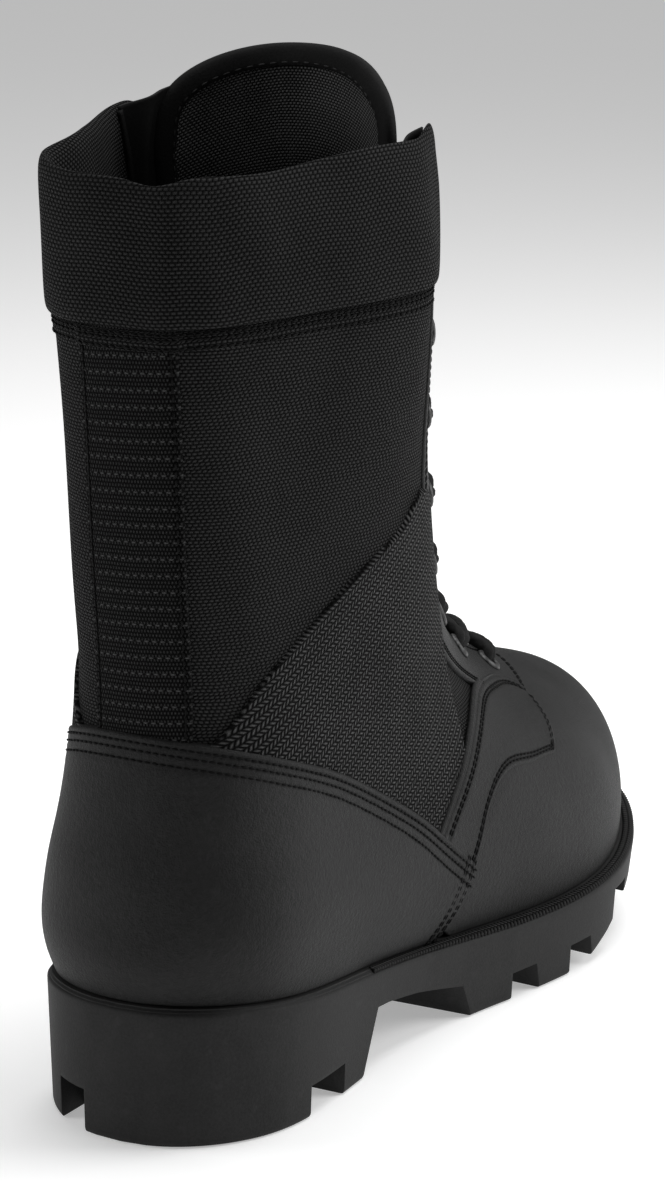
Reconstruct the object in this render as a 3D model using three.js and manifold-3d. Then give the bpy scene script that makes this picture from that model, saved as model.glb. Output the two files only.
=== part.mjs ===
// A right-foot jungle boot: leather foot, fabric shaft, padded collar and a lugged rubber sole.
// Millimetres, +X towards the toe, +Y towards the inner (medial) side, +Z up, floor at Z = 0.
import * as THREE from 'three';
import { mergeVertices } from 'three/addons/utils/BufferGeometryUtils.js';
import Module from 'manifold-3d';

const wasm = await Module();
wasm.setup();

// Driving dimensions
const SOLE_LENGTH = 306;
const BALL_WIDTH = 110;
const SOLE_HEIGHT = 43.5;
const COLLAR_HEIGHT = 281;
const SHAFT_RISE = COLLAR_HEIGHT - SOLE_HEIGHT;

// Walls, layers and clearances
const FIT_GAP = 0.3;
const UPPER_WALL = 1.8;
const LEATHER = 1.4;
const WEBBING = 1.1;
const INSOLE = 3.5;
const TONGUE = 3;
const GUSSET = 0.8;
const CUFF_PAD = 1.3;
const CUFF_LINING = 1.6;

// Sole
const RIM_LEDGE = 7;
const SEAT_EDGE = 2.2;
const RIM_DROP = 2.3;
const RIM_ROUND = 0.8;
const SIDE_DRAFT = 1.2;
const TOE_SPRING = 25;
const LUG_DEPTH = 9;
const LUG_LENGTH = 17;
const LUG_GAP = 15.3;
const LUG_ROWS = 4;
const FOREPART = 0.482;

// Fittings
const EYELET_RADIUS = 4.6;
const EYELET_HOLE = 2.4;
const EYELET_HEIGHT = 0.9;
const EYELET_SIDES = 8;
const LACE_DIAMETER = 3.8;
const LACE_REACH = 0.13;
const LACE_STEPS = 5;
const LACE_SIDES = 6;
const VENT_RADIUS = 5.5;
const BACKSTAY_WIDTH = 32;
const TONGUE_WIDTH = 82;
const TONGUE_RISE = 19;
const TONGUE_SETBACK = 14;
const TONGUE_SAG = 20;
const TONGUE_CROWN = 0.25;
const TONGUE_CLEARANCE = 1.2;
const GUSSET_FOLD = 8.8;

// Centre line of the last: back and front point of each level.
// X is a share of SOLE_LENGTH and Z a share of SHAFT_RISE above SOLE_HEIGHT.
const PROFILE = [
  { level: 0, backX: 0.0160, backZ: 0, frontX: 0.974, frontZ: -0.0206 },
  { level: 1, backX: 0.0095, backZ: 0.0235, frontX: 0.980, frontZ: 0.0273 },
  { level: 2, backX: 0.0040, backZ: 0.0500, frontX: 0.967, frontZ: 0.0841 },
  { level: 3, backX: 0.0043, backZ: 0.0782, frontX: 0.930, frontZ: 0.1375 },
  { level: 4, backX: 0.0090, backZ: 0.1114, frontX: 0.8637, frontZ: 0.183 },
  { level: 5, backX: 0.0155, backZ: 0.150, frontX: 0.7739, frontZ: 0.218 },
  { level: 6, backX: 0.0280, backZ: 0.197, frontX: 0.6765, frontZ: 0.2578 },
  { level: 7, backX: 0.0405, backZ: 0.2557, frontX: 0.590, frontZ: 0.3196 },
  { level: 8, backX: 0.0485, backZ: 0.328, frontX: 0.5242, frontZ: 0.399 },
  { level: 9, backX: 0.0458, backZ: 0.424, frontX: 0.4784, frontZ: 0.4929 },
  { level: 10, backX: 0.0382, backZ: 0.5458, frontX: 0.4464, frontZ: 0.6014 },
  { level: 11, backX: 0.0320, backZ: 0.6825, frontX: 0.4278, frontZ: 0.7158 },
  { level: 12, backX: 0.0232, backZ: 0.8314, frontX: 0.4176, frontZ: 0.8515 },
  { level: 13, backX: 0.0130, backZ: 1.0, frontX: 0.4127, frontZ: 1.0366 },
];

// Where the half widths are measured, as shares of the way from the back point to the front point.
const STATIONS = [0.07, 0.25, 0.5, 0.75, 0.93];

// Half widths at the stations, shares of BALL_WIDTH, and the sag of each level's middle, a share
// of SOLE_HEIGHT.
const WIDTHS = [
  { level: 0, lateral: [0.285, 0.316, 0.342, 0.441, 0.282],
    medial: [0.316, 0.335, 0.318, 0.400, 0.277], sag: -0.322 },
  { level: 2, lateral: [0.306, 0.350, 0.389, 0.435, 0.268],
    medial: [0.329, 0.360, 0.359, 0.426, 0.300], sag: -0.207 },
  { level: 4, lateral: [0.312, 0.357, 0.380, 0.366, 0.205],
    medial: [0.317, 0.356, 0.365, 0.371, 0.215], sag: -0.092 },
  { level: 6, lateral: [0.273, 0.335, 0.361, 0.311, 0.166],
    medial: [0.279, 0.333, 0.348, 0.327, 0.180], sag: -0.023 },
  { level: 8, lateral: [0.218, 0.317, 0.363, 0.345, 0.216],
    medial: [0.248, 0.316, 0.359, 0.335, 0.195], sag: 0 },
  { level: 10, lateral: [0.204, 0.302, 0.380, 0.384, 0.273],
    medial: [0.236, 0.307, 0.371, 0.389, 0.255], sag: 0 },
  { level: 12, lateral: [0.198, 0.311, 0.420, 0.455, 0.282],
    medial: [0.249, 0.317, 0.395, 0.441, 0.277], sag: 0 },
  { level: 13, lateral: [0.215, 0.317, 0.418, 0.452, 0.315],
    medial: [0.273, 0.332, 0.410, 0.455, 0.300], sag: 0 },
];
const BLUNTNESS = 0.9;
const SAG_SKEW = 1.3;
const NUDGE = 0.01;

// Extra rise of the collar's rim on the medial side, a share of SHAFT_RISE by share of the way
// from back to front. It grows from the collar's seam to its rim.
const MEDIAL_LIFT = [[0, 0], [0.08, 0.012], [0.35, 0.02], [0.85, 0.02], [1, 0]];
const LIFT_LEVELS = [12, 13];

// Edge of the throat on each side, in degrees round from the middle of the back.
const THROAT = [
  { level: 5.35, lateral: 166, medial: 166 },
  { level: 7, lateral: 160, medial: 160 },
  { level: 9, lateral: 155, medial: 155 },
  { level: 11, lateral: 146, medial: 143 },
  { level: 13, lateral: 137, medial: 122 },
];

// Levels of the mesh below and above the bottom of the throat.
const FOOT_LEVELS = [0, 0.6, 1.3, 2.1, 3, 3.9, 4.7, 5.35];
const SHAFT_LEVELS = [5.85, 6.4, 7, 7.65, 8.4, 9.2, 10.1, 11];
const SKIN_TOP = 11.99;
const UPPER_TOP = 12.9;
const SIDE_COLUMNS = 17;
const FRONT_COLUMNS = 3;

// Seams on the side view, X as a share of SOLE_LENGTH, Z as a share of SHAFT_RISE above SOLE_HEIGHT.
const COUNTER_TOP = [[0.046, 0.327], [0.082, 0.312], [0.139, 0.285], [0.218, 0.244], [0.299, 0.189],
  [0.359, 0.144], [0.403, 0.105]];
const COUNTER_POINT = [[0.440, 0.071], [0.475, 0.040]];
const COUNTER_FRONT = [[0.462, 0.012], [0.445, -0.023], [0.435, -0.052], [0.43, -0.1]];
const TAB_BACK = [[0.437, 0.157], [0.481, 0.209], [0.565, 0.242]];
const TAB_FRONT = [[0.655, 0.127], [0.636, 0.130], [0.539, 0.139], [0.493, 0.099]];
const EYESTAY_BACK = [[0.356, 0.60], [0.372, 0.50], [0.392, 0.42], [0.410, 0.373]];
const EYESTAY_INSTEP = [[0.446, 0.328], [0.511, 0.277]];
const EYESTAY_FOOT = [[0.565, 0.242], [0.612, 0.212], [0.652, 0.193], [0.683, 0.191]];
const EYESTAY_FRONT = [[0.686, 0.208], [0.700, 0.226], [0.720, 0.237]];
const STRAP_TOP = [[0.069, 0.318], [0.109, 0.386], [0.159, 0.435], [0.214, 0.481], [0.277, 0.520],
  [0.315, 0.542], [0.350, 0.572]];
const STRAP_FRONT = [[0.406, 0.281], [0.398, 0.164]];

// Lace holes: level on the last and degrees round from the back.
const EYELETS = [
  { level: 5.66, lateral: 152, medial: 152 },
  { level: 6.6, lateral: 149, medial: 149 },
  { level: 7.6, lateral: 146.5, medial: 146.5 },
  { level: 8.6, lateral: 144.5, medial: 144.5 },
  { level: 9.6, lateral: 142, medial: 142 },
  { level: 10.6, lateral: 138, medial: 136 },
  { level: 11.5, lateral: 133, medial: 128 },
];

// Drain vents low on the medial side.
const VENTS = [{ level: 1.6, turn: -62 }, { level: 1.9, turn: -83 }];

// Tongue: half width in degrees about the front where it lies along the last, and how far it has
// left the last for its own free curve. Above the collar it has only the free curve.
const TONGUE_LOW = [
  { level: 4.75, spread: 13, free: 0, width: 0.3 },
  { level: 5.5, spread: 19, free: 0, width: 0.35 },
  { level: 6.5, spread: 25, free: 0, width: 0.4 },
  { level: 7.5, spread: 29, free: 0, width: 0.5 },
  { level: 8.5, spread: 33, free: 0, width: 0.6 },
  { level: 9.5, spread: 37, free: 0, width: 0.7 },
  { level: 10.5, spread: 41, free: 0.15, width: 0.8 },
  { level: 11.3, spread: 43, free: 0.5, width: 0.9 },
  { level: 12, spread: 44, free: 0.85, width: 0.97 },
];
const TONGUE_HIGH = [
  { rise: -0.9, width: 0.98 },
  { rise: -0.3, width: 0.97 },
  { rise: 0.2, width: 0.95 },
  { rise: 0.55, width: 0.9 },
  { rise: 0.8, width: 0.83 },
  { rise: 1, width: 0.7 },
];

// Section of the padded collar: level, and depth as a share of the pad outside or the lining inside.
const CUFF_OUTSIDE = [[12, 0], [12.03, 0.8], [12.3, 1], [12.7, 0.6], [12.95, 0]];
const CUFF_INSIDE = [[12.95, 0.8], [12.6, 1], [12.05, 1], [12, 0]];
const CUFF_TOP = 13.02;

// Rim ledge round the sole and height of the tread, by share of the length.
const LEDGE_SHARE = [[0, 0.68], [0.07, 0.6], [0.25, 0.68], [0.4, 0.72], [0.55, 1], [0.75, 0.9], [1, 1]];
const TREAD_RISE = [[0, 0], [0.65, 0], [0.7, 0.1], [0.74, 0.28], [0.8, 0.6], [0.86, 0.78],
  [0.93, 0.92], [1, 1]];

// Arch under the waist, X as a share of SOLE_LENGTH and Z as a share of SOLE_HEIGHT.
const ARCH = [[0.265, -0.1], [0.265, 0], [0.295, 0.47], [0.32, 0.455], [0.38, 0.39], [0.465, 0.265],
  [FOREPART, 0], [FOREPART, -0.1]];

// Grooves between the lugs on each side: edge and inner end in shares of BALL_WIDTH.
const LUG_GROOVES = [
  { edge: -0.7, end: -0.05, slant: 0.06, shift: 0 },
  { edge: 0.7, end: 0.05, slant: 0.06, shift: -0.5 },
];

// Notches in the heel: X from and to as shares of SOLE_LENGTH, Y and slant of BALL_WIDTH, and
// height of SOLE_HEIGHT.
const HEEL_NOTCHES = [
  { from: 0.146, to: 0.216, edge: -0.7, end: -0.09, slant: 0.02, height: 0.23 },
  { from: -0.05, to: 0.075, edge: 0.23, end: 0.12, slant: 0, height: 0.31 },
];

// How tightly a bar of lace follows the last, by level; above the ankle it is straighter.
const LACE_HUG = [[9, 1], [10, 0.92], [11, 0.8], [12, 0.68]];

// Leather, cloth, rubber, metal
const looks = {
  leather: { color: 0x2b2c2e, roughness: 0.45, metalness: 0 },
  cloth: { color: 0x232427, roughness: 0.9, metalness: 0 },
  webbing: { color: 0x1f2023, roughness: 0.85, metalness: 0 },
  rubber: { color: 0x303133, roughness: 0.7, metalness: 0 },
  lining: { color: 0x2a2b2e, roughness: 0.95, metalness: 0 },
  lace: { color: 0x1a1a1c, roughness: 0.9, metalness: 0 },
  metal: { color: 0x18191b, roughness: 0.35, metalness: 0.8 },
};

// Cubic spline through (xs, ys): natural ends, or flat ends where the slope must vanish.
function spline(xs, ys, flatEnds = false) {
  const n = xs.length;
  const lower = new Array(n).fill(0);
  const middle = new Array(n).fill(1);
  const upper = new Array(n).fill(0);
  const right = new Array(n).fill(0);
  const slope = (i) => (ys[i + 1] - ys[i]) / (xs[i + 1] - xs[i]);
  for (let i = 1; i < n - 1; i += 1) {
    lower[i] = xs[i] - xs[i - 1];
    upper[i] = xs[i + 1] - xs[i];
    middle[i] = 2 * (lower[i] + upper[i]);
    right[i] = 6 * (slope(i) - slope(i - 1));
  }
  if (flatEnds) {
    middle[0] = 2 * (xs[1] - xs[0]);
    upper[0] = xs[1] - xs[0];
    right[0] = 6 * slope(0);
    lower[n - 1] = xs[n - 1] - xs[n - 2];
    middle[n - 1] = 2 * lower[n - 1];
    right[n - 1] = -6 * slope(n - 2);
  }
  for (let i = 1; i < n; i += 1) {
    const factor = lower[i] / middle[i - 1];
    middle[i] -= factor * upper[i - 1];
    right[i] -= factor * right[i - 1];
  }
  const bend = new Array(n).fill(0);
  bend[n - 1] = right[n - 1] / middle[n - 1];
  for (let i = n - 2; i >= 0; i -= 1) bend[i] = (right[i] - upper[i] * bend[i + 1]) / middle[i];
  return (x) => {
    let i = 0;
    while (i < n - 2 && x > xs[i + 1]) i += 1;
    const h = xs[i + 1] - xs[i];
    const a = (xs[i + 1] - x) / h;
    const b = (x - xs[i]) / h;
    return a * ys[i] + b * ys[i + 1] + ((a ** 3 - a) * bend[i] + (b ** 3 - b) * bend[i + 1]) * h * h / 6;
  };
}

const column = (table, key) => spline(table.map((row) => row.level), table.map((row) => row[key]));
const sideColumns = (side) => STATIONS.map((_, i) => spline(
  WIDTHS.map((row) => row.level), WIDTHS.map((row) => row[side][i])));
const steps = (table, x) => {
  let i = 0;
  while (i < table.length - 2 && x > table[i + 1][0]) i += 1;
  const [[x0, y0], [x1, y1]] = [table[i], table[i + 1]];
  return y0 + (y1 - y0) * THREE.MathUtils.clamp((x - x0) / (x1 - x0), 0, 1);
};

const backX = column(PROFILE, 'backX');
const backZ = column(PROFILE, 'backZ');
const frontX = column(PROFILE, 'frontX');
const frontZ = column(PROFILE, 'frontZ');
const sag = column(WIDTHS, 'sag');
const halfWidths = { lateral: sideColumns('lateral'), medial: sideColumns('medial') };
const throatEdge = { lateral: column(THROAT, 'lateral'), medial: column(THROAT, 'medial') };
const stationAngles = STATIONS.map((share) => Math.acos(1 - 2 * share));

// Half width at an angle round from the back, for one side and level.
function halfWidth(side, level, angle) {
  const widths = halfWidths[side].map((f, i) => f(level) / Math.sin(stationAngles[i]) ** BLUNTNESS);
  const curve = spline([0, ...stationAngles, Math.PI],
    [widths[0], ...widths, widths[widths.length - 1]], true);
  return BALL_WIDTH * curve(angle) * Math.max(Math.sin(angle), 0) ** BLUNTNESS;
}

// Point on the outside of the upper. Turn is 0 at the back, positive on the lateral side, PI in front.
function lastPoint(turn, level) {
  const angle = Math.abs(turn);
  const share = (1 - Math.cos(angle)) / 2;
  const x = backX(level) + (frontX(level) - backX(level)) * share;
  const z = backZ(level) + (frontZ(level) - backZ(level)) * share;
  const droop = SOLE_HEIGHT * sag(level) * Math.sin(Math.PI * share ** SAG_SKEW);
  const side = turn >= 0 ? 'lateral' : 'medial';
  const raised = side === 'medial' ? THREE.MathUtils.smoothstep(level, ...LIFT_LEVELS) : 0;
  const lift = SHAFT_RISE * raised * steps(MEDIAL_LIFT, share);
  const y = halfWidth(side, level, angle) * (turn >= 0 ? -1 : 1);
  return new THREE.Vector3(SOLE_LENGTH * x, y, SOLE_HEIGHT + SHAFT_RISE * z + droop + lift);
}

// Outward normal, level at the sole so that the layers end side by side on its seat.
function lastNormal(turn, level) {
  const along = lastPoint(turn + NUDGE, level).sub(lastPoint(turn - NUDGE, level));
  const up = lastPoint(turn, level + NUDGE).sub(lastPoint(turn, level - NUDGE));
  const normal = along.cross(up).normalize();
  normal.z *= Math.min(level / FOOT_LEVELS[1], 1);
  return normal.normalize();
}

// The normal in front takes its two neighbours from the two sides.
function skinPoint(turn, level, offset) {
  const nearFront = Math.PI - 2 * NUDGE;
  const turned = THREE.MathUtils.clamp(turn, -nearFront, nearFront);
  const normal = lastNormal(turned, level);
  if (Math.abs(turn) > nearFront) normal.add(lastNormal(-turned, level)).normalize();
  return lastPoint(turn, level).addScaledVector(normal, offset);
}

// Closed mesh from points and faces of three or more corners, turned outwards.
function closedGeometry(points, faces) {
  const index = faces.flatMap((face) => face.slice(2).flatMap(
    (_, i) => [face[0], face[i + 1], face[i + 2]]));
  let volume = 0;
  for (let i = 0; i < index.length; i += 3) {
    const [a, b, c] = [points[index[i]], points[index[i + 1]], points[index[i + 2]]];
    volume += a.dot(b.clone().cross(c));
  }
  if (volume < 0) index.reverse();
  const geometry = new THREE.BufferGeometry().setFromPoints(points);
  geometry.setIndex(index);
  geometry.computeVertexNormals();
  return geometry;
}

function toSolid(geometry) {
  const plain = geometry.clone();
  plain.deleteAttribute('normal');
  plain.deleteAttribute('uv');
  const merged = mergeVertices(plain, 1e-4);
  return new wasm.Manifold(new wasm.Mesh({
    numProp: 3,
    vertProperties: new Float32Array(merged.attributes.position.array),
    triVerts: new Uint32Array(merged.index.array),
  }));
}

function fromSolid(solid) {
  const mesh = solid.getMesh();
  const geometry = new THREE.BufferGeometry();
  geometry.setAttribute('position', new THREE.BufferAttribute(mesh.vertProperties, 3));
  geometry.setIndex(new THREE.BufferAttribute(mesh.triVerts, 1));
  geometry.computeVertexNormals();
  return geometry;
}

// Angles of the mesh columns at one level. Columns past SIDE_COLUMNS span the front of the foot.
function columnTurn(c, level) {
  const side = c >= 0 ? 'lateral' : 'medial';
  const edge = THREE.MathUtils.degToRad(throatEdge[side](Math.max(level, THROAT[0].level)));
  const n = Math.abs(c);
  const angle = n <= SIDE_COLUMNS ? edge * n / SIDE_COLUMNS
    : edge + (Math.PI - edge) * (n - SIDE_COLUMNS) / FRONT_COLUMNS;
  return Math.sign(c) * angle;
}

// Hollow form of the upper between two offsets, open at the top, at the throat and underneath.
function upperForm(outer, inner, topLevel) {
  const levels = [...FOOT_LEVELS, ...SHAFT_LEVELS, ...(topLevel > 12 ? [12, topLevel] : [topLevel])];
  const throatRow = FOOT_LEVELS.length - 1;
  const last = SIDE_COLUMNS + FRONT_COLUMNS;
  const points = [];
  const ids = new Map();
  const id = (layer, row, c) => {
    const wrapped = c === -last ? last : c;
    const key = `${layer} ${row} ${wrapped}`;
    if (!ids.has(key)) {
      ids.set(key, points.length);
      const turn = wrapped === last ? Math.PI : columnTurn(wrapped, levels[row]);
      points.push(skinPoint(turn, levels[row], layer === 0 ? outer : inner));
    }
    return ids.get(key);
  };
  const faces = [];
  const wall = (r0, c0, r1, c1) => {
    faces.push([id(0, r0, c0), id(1, r0, c0), id(1, r1, c1), id(0, r1, c1)]);
  };
  for (let row = 0; row < levels.length - 1; row += 1) {
    const reach = row < throatRow ? last : SIDE_COLUMNS;
    for (let c = -reach; c < reach; c += 1) {
      faces.push([id(0, row, c), id(0, row, c + 1), id(0, row + 1, c + 1), id(0, row + 1, c)]);
      faces.push([id(1, row, c), id(1, row + 1, c), id(1, row + 1, c + 1), id(1, row, c + 1)]);
    }
    if (row >= throatRow) {
      wall(row + 1, -SIDE_COLUMNS, row, -SIDE_COLUMNS);
      wall(row, SIDE_COLUMNS, row + 1, SIDE_COLUMNS);
    }
  }
  for (let c = -last; c < last; c += 1) wall(0, c, 0, c + 1);
  const top = levels.length - 1;
  for (let c = -SIDE_COLUMNS; c < SIDE_COLUMNS; c += 1) wall(top, c + 1, top, c);
  for (let c = SIDE_COLUMNS; c < last; c += 1) {
    wall(throatRow, c + 1, throatRow, c);
    wall(throatRow, -c, throatRow, -c - 1);
  }
  return closedGeometry(points, faces);
}

// Side view polygon drawn in by a distance, with sharp corners held to a longest miter.
const LONGEST_MITER = 3.3;
function inset(points, distance) {
  const inwards = THREE.ShapeUtils.isClockWise(points) ? -1 : 1;
  return points.map((point, i) => {
    const before = points[(i + points.length - 1) % points.length];
    const after = points[(i + 1) % points.length];
    const a = point.clone().sub(before).normalize();
    const b = after.clone().sub(point).normalize();
    const side = new THREE.Vector2(-a.y, a.x).multiplyScalar(inwards);
    const normal = new THREE.Vector2(-a.y - b.y, a.x + b.x).multiplyScalar(inwards).normalize();
    const miter = Math.min(1 / Math.max(normal.dot(side), NUDGE), LONGEST_MITER);
    return point.clone().addScaledVector(normal, distance * miter);
  });
}
const sidePoint = ([x, z]) => new THREE.Vector2(x * SOLE_LENGTH, SOLE_HEIGHT + z * SHAFT_RISE);
function prism(shares, side) {
  const outline = inset(shares.map(sidePoint), FIT_GAP / 2);
  const depth = side === 'both' ? 2 * BALL_WIDTH : BALL_WIDTH;
  const geometry = new THREE.ExtrudeGeometry(new THREE.Shape(outline), { depth, bevelEnabled: false });
  geometry.rotateX(Math.PI / 2);
  if (side !== 'lateral') geometry.translate(0, BALL_WIDTH, 0);
  return toSolid(geometry);
}

// Panels: each is a share of a skin over the base, cut by its seams.
const leatherSkin = toSolid(upperForm(FIT_GAP + LEATHER, FIT_GAP, SKIN_TOP));
const webbingSkin = toSolid(upperForm(FIT_GAP + WEBBING, FIT_GAP, SKIN_TOP));
const panel = (skin, shares, side) => fromSolid(skin.intersect(prism(shares, side)));
const reversed = (points) => [...points].reverse();

const counterOutline = [[-0.1, 0.33], ...COUNTER_TOP, ...COUNTER_POINT, ...COUNTER_FRONT,
  [0.43, -0.25], [-0.1, -0.25]];
const vampOutline = [COUNTER_FRONT.at(-1), ...reversed(COUNTER_FRONT.slice(0, -1)), COUNTER_POINT.at(-1),
  ...reversed(TAB_FRONT), EYESTAY_FOOT.at(-1), ...EYESTAY_FRONT, [0.74, 0.3], [1.1, 0.3], [1.1, -0.25],
  [0.43, -0.25]];
const tabOutline = [COUNTER_TOP.at(-1), ...TAB_BACK, ...EYESTAY_FOOT.slice(1), ...TAB_FRONT,
  ...reversed(COUNTER_POINT)];
const eyestayOutline = [[0.335, 0.9], [0.343, 0.70], ...EYESTAY_BACK, ...EYESTAY_INSTEP, ...EYESTAY_FOOT,
  ...EYESTAY_FRONT, [0.74, 0.3], [0.74, 0.9]];
const strapOutline = [...STRAP_TOP, ...EYESTAY_BACK, ...STRAP_FRONT, ...reversed(COUNTER_TOP.slice(1))];

function backstayGeometry() {
  const outline = [[-0.1, 0.33], COUNTER_TOP[0], COUNTER_TOP[1], [0.12, 0.35], [0.12, 0.9], [-0.1, 0.9]];
  const band = new THREE.BoxGeometry(SOLE_LENGTH, BACKSTAY_WIDTH, 2 * COLLAR_HEIGHT);
  return fromSolid(webbingSkin.intersect(prism(outline, 'both')).intersect(toSolid(band)));
}

// Padded collar: a U section over the top edge, swept from one throat edge to the other.
function cuffGeometry() {
  const inside = -UPPER_WALL - FIT_GAP;
  const collarDepth = SHAFT_RISE * (PROFILE.at(-1).backZ - PROFILE.at(-2).backZ);
  const cavityTop = UPPER_TOP + FIT_GAP / collarDepth;
  const section = [
    ...CUFF_OUTSIDE.map(([level, share]) => [level, FIT_GAP + share * CUFF_PAD]),
    [CUFF_TOP, -UPPER_WALL / 2],
    ...CUFF_INSIDE.map(([level, share]) => [level, inside - share * CUFF_LINING]),
    [cavityTop, inside],
    [cavityTop, FIT_GAP],
  ];
  const points = [];
  const count = section.length;
  for (let c = -SIDE_COLUMNS; c <= SIDE_COLUMNS; c += 1) {
    section.forEach(([level, offset]) => points.push(skinPoint(columnTurn(c, level), level, offset)));
  }
  const faces = [];
  for (let c = 0; c < 2 * SIDE_COLUMNS; c += 1) {
    for (let i = 0; i < count; i += 1) {
      const next = (i + 1) % count;
      const [a, b, d, e] = [c * count + i, c * count + next, (c + 1) * count + next, (c + 1) * count + i];
      faces.push(section[next][0] > section[i][0] ? [a, b, d, e] : [b, d, e, a]);
    }
  }
  const flat = section.map(([level, offset]) => new THREE.Vector2(offset, collarDepth * level));
  const cap = THREE.ShapeUtils.triangulateShape(flat, []);
  const far = 2 * SIDE_COLUMNS * count;
  const capTurn = THREE.ShapeUtils.isClockWise(flat) ? 1 : -1;
  cap.forEach(([a, b, c]) => {
    faces.push(capTurn > 0 ? [a, b, c] : [a, c, b]);
    faces.push(capTurn > 0 ? [far + a, far + c, far + b] : [far + a, far + b, far + c]);
  });
  return closedGeometry(points, faces);
}

// Grid sheet of some thickness from a mid-surface function of u and v.
function sheetGeometry(us, vs, at, thickness) {
  const layer = (half) => vs.flatMap((v) => us.map((u) => {
    const along = at(u + NUDGE, v).sub(at(u - NUDGE, v));
    const up = at(u, v + NUDGE).sub(at(u, v - NUDGE));
    return at(u, v).addScaledVector(along.cross(up).normalize(), half);
  }));
  const points = [...layer(thickness / 2), ...layer(-thickness / 2)];
  const [w, h] = [us.length, vs.length];
  const id = (side, j, i) => side * w * h + j * w + i;
  const faces = [];
  for (let j = 0; j < h - 1; j += 1) {
    for (let i = 0; i < w - 1; i += 1) {
      faces.push([id(0, j, i), id(0, j, i + 1), id(0, j + 1, i + 1), id(0, j + 1, i)]);
      faces.push([id(1, j, i), id(1, j + 1, i), id(1, j + 1, i + 1), id(1, j, i + 1)]);
    }
    faces.push([id(0, j, 0), id(0, j + 1, 0), id(1, j + 1, 0), id(1, j, 0)]);
    faces.push([id(0, j, w - 1), id(1, j, w - 1), id(1, j + 1, w - 1), id(0, j + 1, w - 1)]);
  }
  for (let i = 0; i < w - 1; i += 1) {
    faces.push([id(0, 0, i), id(1, 0, i), id(1, 0, i + 1), id(0, 0, i + 1)]);
    faces.push([id(0, h - 1, i), id(0, h - 1, i + 1), id(1, h - 1, i + 1), id(1, h - 1, i)]);
  }
  return closedGeometry(points, faces);
}

// Tongue: u from -1 (medial) to 1 (lateral), v counts along its stations.
const collarRow = TONGUE_LOW.length - 1;
const tongueStations = [
  ...TONGUE_LOW.map((row) => ({ ...row, rise: 0 })),
  ...TONGUE_HIGH.map((row) => ({ ...row, level: 13, spread: TONGUE_LOW[collarRow].spread, free: 1 })),
];
const tongueTop = tongueStations.length - 1;
const tongueAt = (key, v) => steps(tongueStations.map((row, i) => [i, row[key]]), v);
function tonguePoint(u, v) {
  const level = tongueAt('level', v);
  const deep = -(UPPER_WALL + TONGUE_CLEARANCE + TONGUE / 2);
  const turn = Math.PI - THREE.MathUtils.degToRad(tongueAt('spread', v)) * Math.abs(u);
  const laid = skinPoint(u >= 0 ? turn : -turn, level, deep);
  const front = lastPoint(Math.PI, level);
  const across = u * tongueAt('width', v);
  const crown = 1 - TONGUE_CROWN * u * u;
  const free = new THREE.Vector3(front.x - TONGUE_SETBACK - TONGUE_SAG * across * across,
    -across * TONGUE_WIDTH / 2, front.z + tongueAt('rise', v) * TONGUE_RISE * crown);
  return laid.lerp(free, tongueAt('free', v));
}
const range = (count, from, to) => Array.from(
  { length: count + 1 }, (_, i) => from + (to - from) * i / count);
const TONGUE_COLUMNS = 10;
const tongueGeometry = () => sheetGeometry(
  range(TONGUE_COLUMNS, -1, 1), range(tongueTop, 0, tongueTop), tonguePoint, TONGUE);

// Gusset: cloth from the tongue's edge to the lining beside the throat, with a fold between.
const GUSSET_SEAT = 0.9;
const GUSSET_ROWS = 5;
const GUSSET_COLUMNS = 4;
function gussetGeometry(side) {
  const sign = side === 'lateral' ? 1 : -1;
  const at = (u, v) => {
    const level = tongueAt('level', v);
    const start = tonguePoint(sign, v);
    const sideways = start.clone().sub(tonguePoint(sign * GUSSET_SEAT, v)).normalize();
    start.addScaledVector(sideways, 2 * FIT_GAP + GUSSET);
    const turn = columnTurn(sign * SIDE_COLUMNS, level) * GUSSET_SEAT;
    const seat = -(UPPER_WALL + 2 * FIT_GAP + GUSSET / 2);
    const end = skinPoint(turn, level, seat);
    const fold = skinPoint(turn, level, seat - GUSSET_FOLD).sub(end);
    return start.lerp(end, u).addScaledVector(fold, (1 - tongueAt('free', v)) * Math.sin(Math.PI * u));
  };
  const rows = range(GUSSET_ROWS, collarRow - GUSSET_ROWS, collarRow);
  return sheetGeometry(range(GUSSET_COLUMNS, 0, 1), rows, at, GUSSET);
}

// Outline of the sole: the last's lowest level, pushed out by the ledge.
function soleRing(spread, share, drop) {
  const last = SIDE_COLUMNS + FRONT_COLUMNS;
  const ring = [];
  for (let c = -last + 1; c <= last; c += 1) {
    const turn = c === last ? Math.PI : columnTurn(c, 0);
    const point = lastPoint(turn, 0);
    const before = lastPoint(turn - NUDGE, 0);
    const after = c === last ? lastPoint(-Math.PI + NUDGE, 0) : lastPoint(turn + NUDGE, 0);
    const outward = new THREE.Vector3(after.y - before.y, before.x - after.x, 0).normalize();
    const ledge = RIM_LEDGE * steps(LEDGE_SHARE, point.x / SOLE_LENGTH);
    point.addScaledVector(outward, spread + share * ledge);
    point.z += drop;
    ring.push(point);
  }
  return ring;
}

// Stack of rings closed by strips across from one side to the other.
function stack(rings) {
  const count = rings[0].length;
  const points = rings.flat();
  const faces = [];
  for (let r = 0; r < rings.length - 1; r += 1) {
    for (let i = 0; i < count; i += 1) {
      const next = (i + 1) % count;
      faces.push([r * count + i, r * count + next, (r + 1) * count + next, (r + 1) * count + i]);
    }
  }
  const back = count / 2 - 1;
  const lid = (base, flip) => {
    for (let k = 0; k < count / 2; k += 1) {
      const strip = [back + k, back + k + 1, back - k - 1, back - k].map((i) => base + (i + count) % count);
      const corners = strip.filter((value, i) => strip.indexOf(value) === i);
      faces.push(flip ? corners.reverse() : corners);
    }
  };
  lid(0, true);
  lid((rings.length - 1) * count, false);
  return closedGeometry(points, faces);
}

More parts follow.
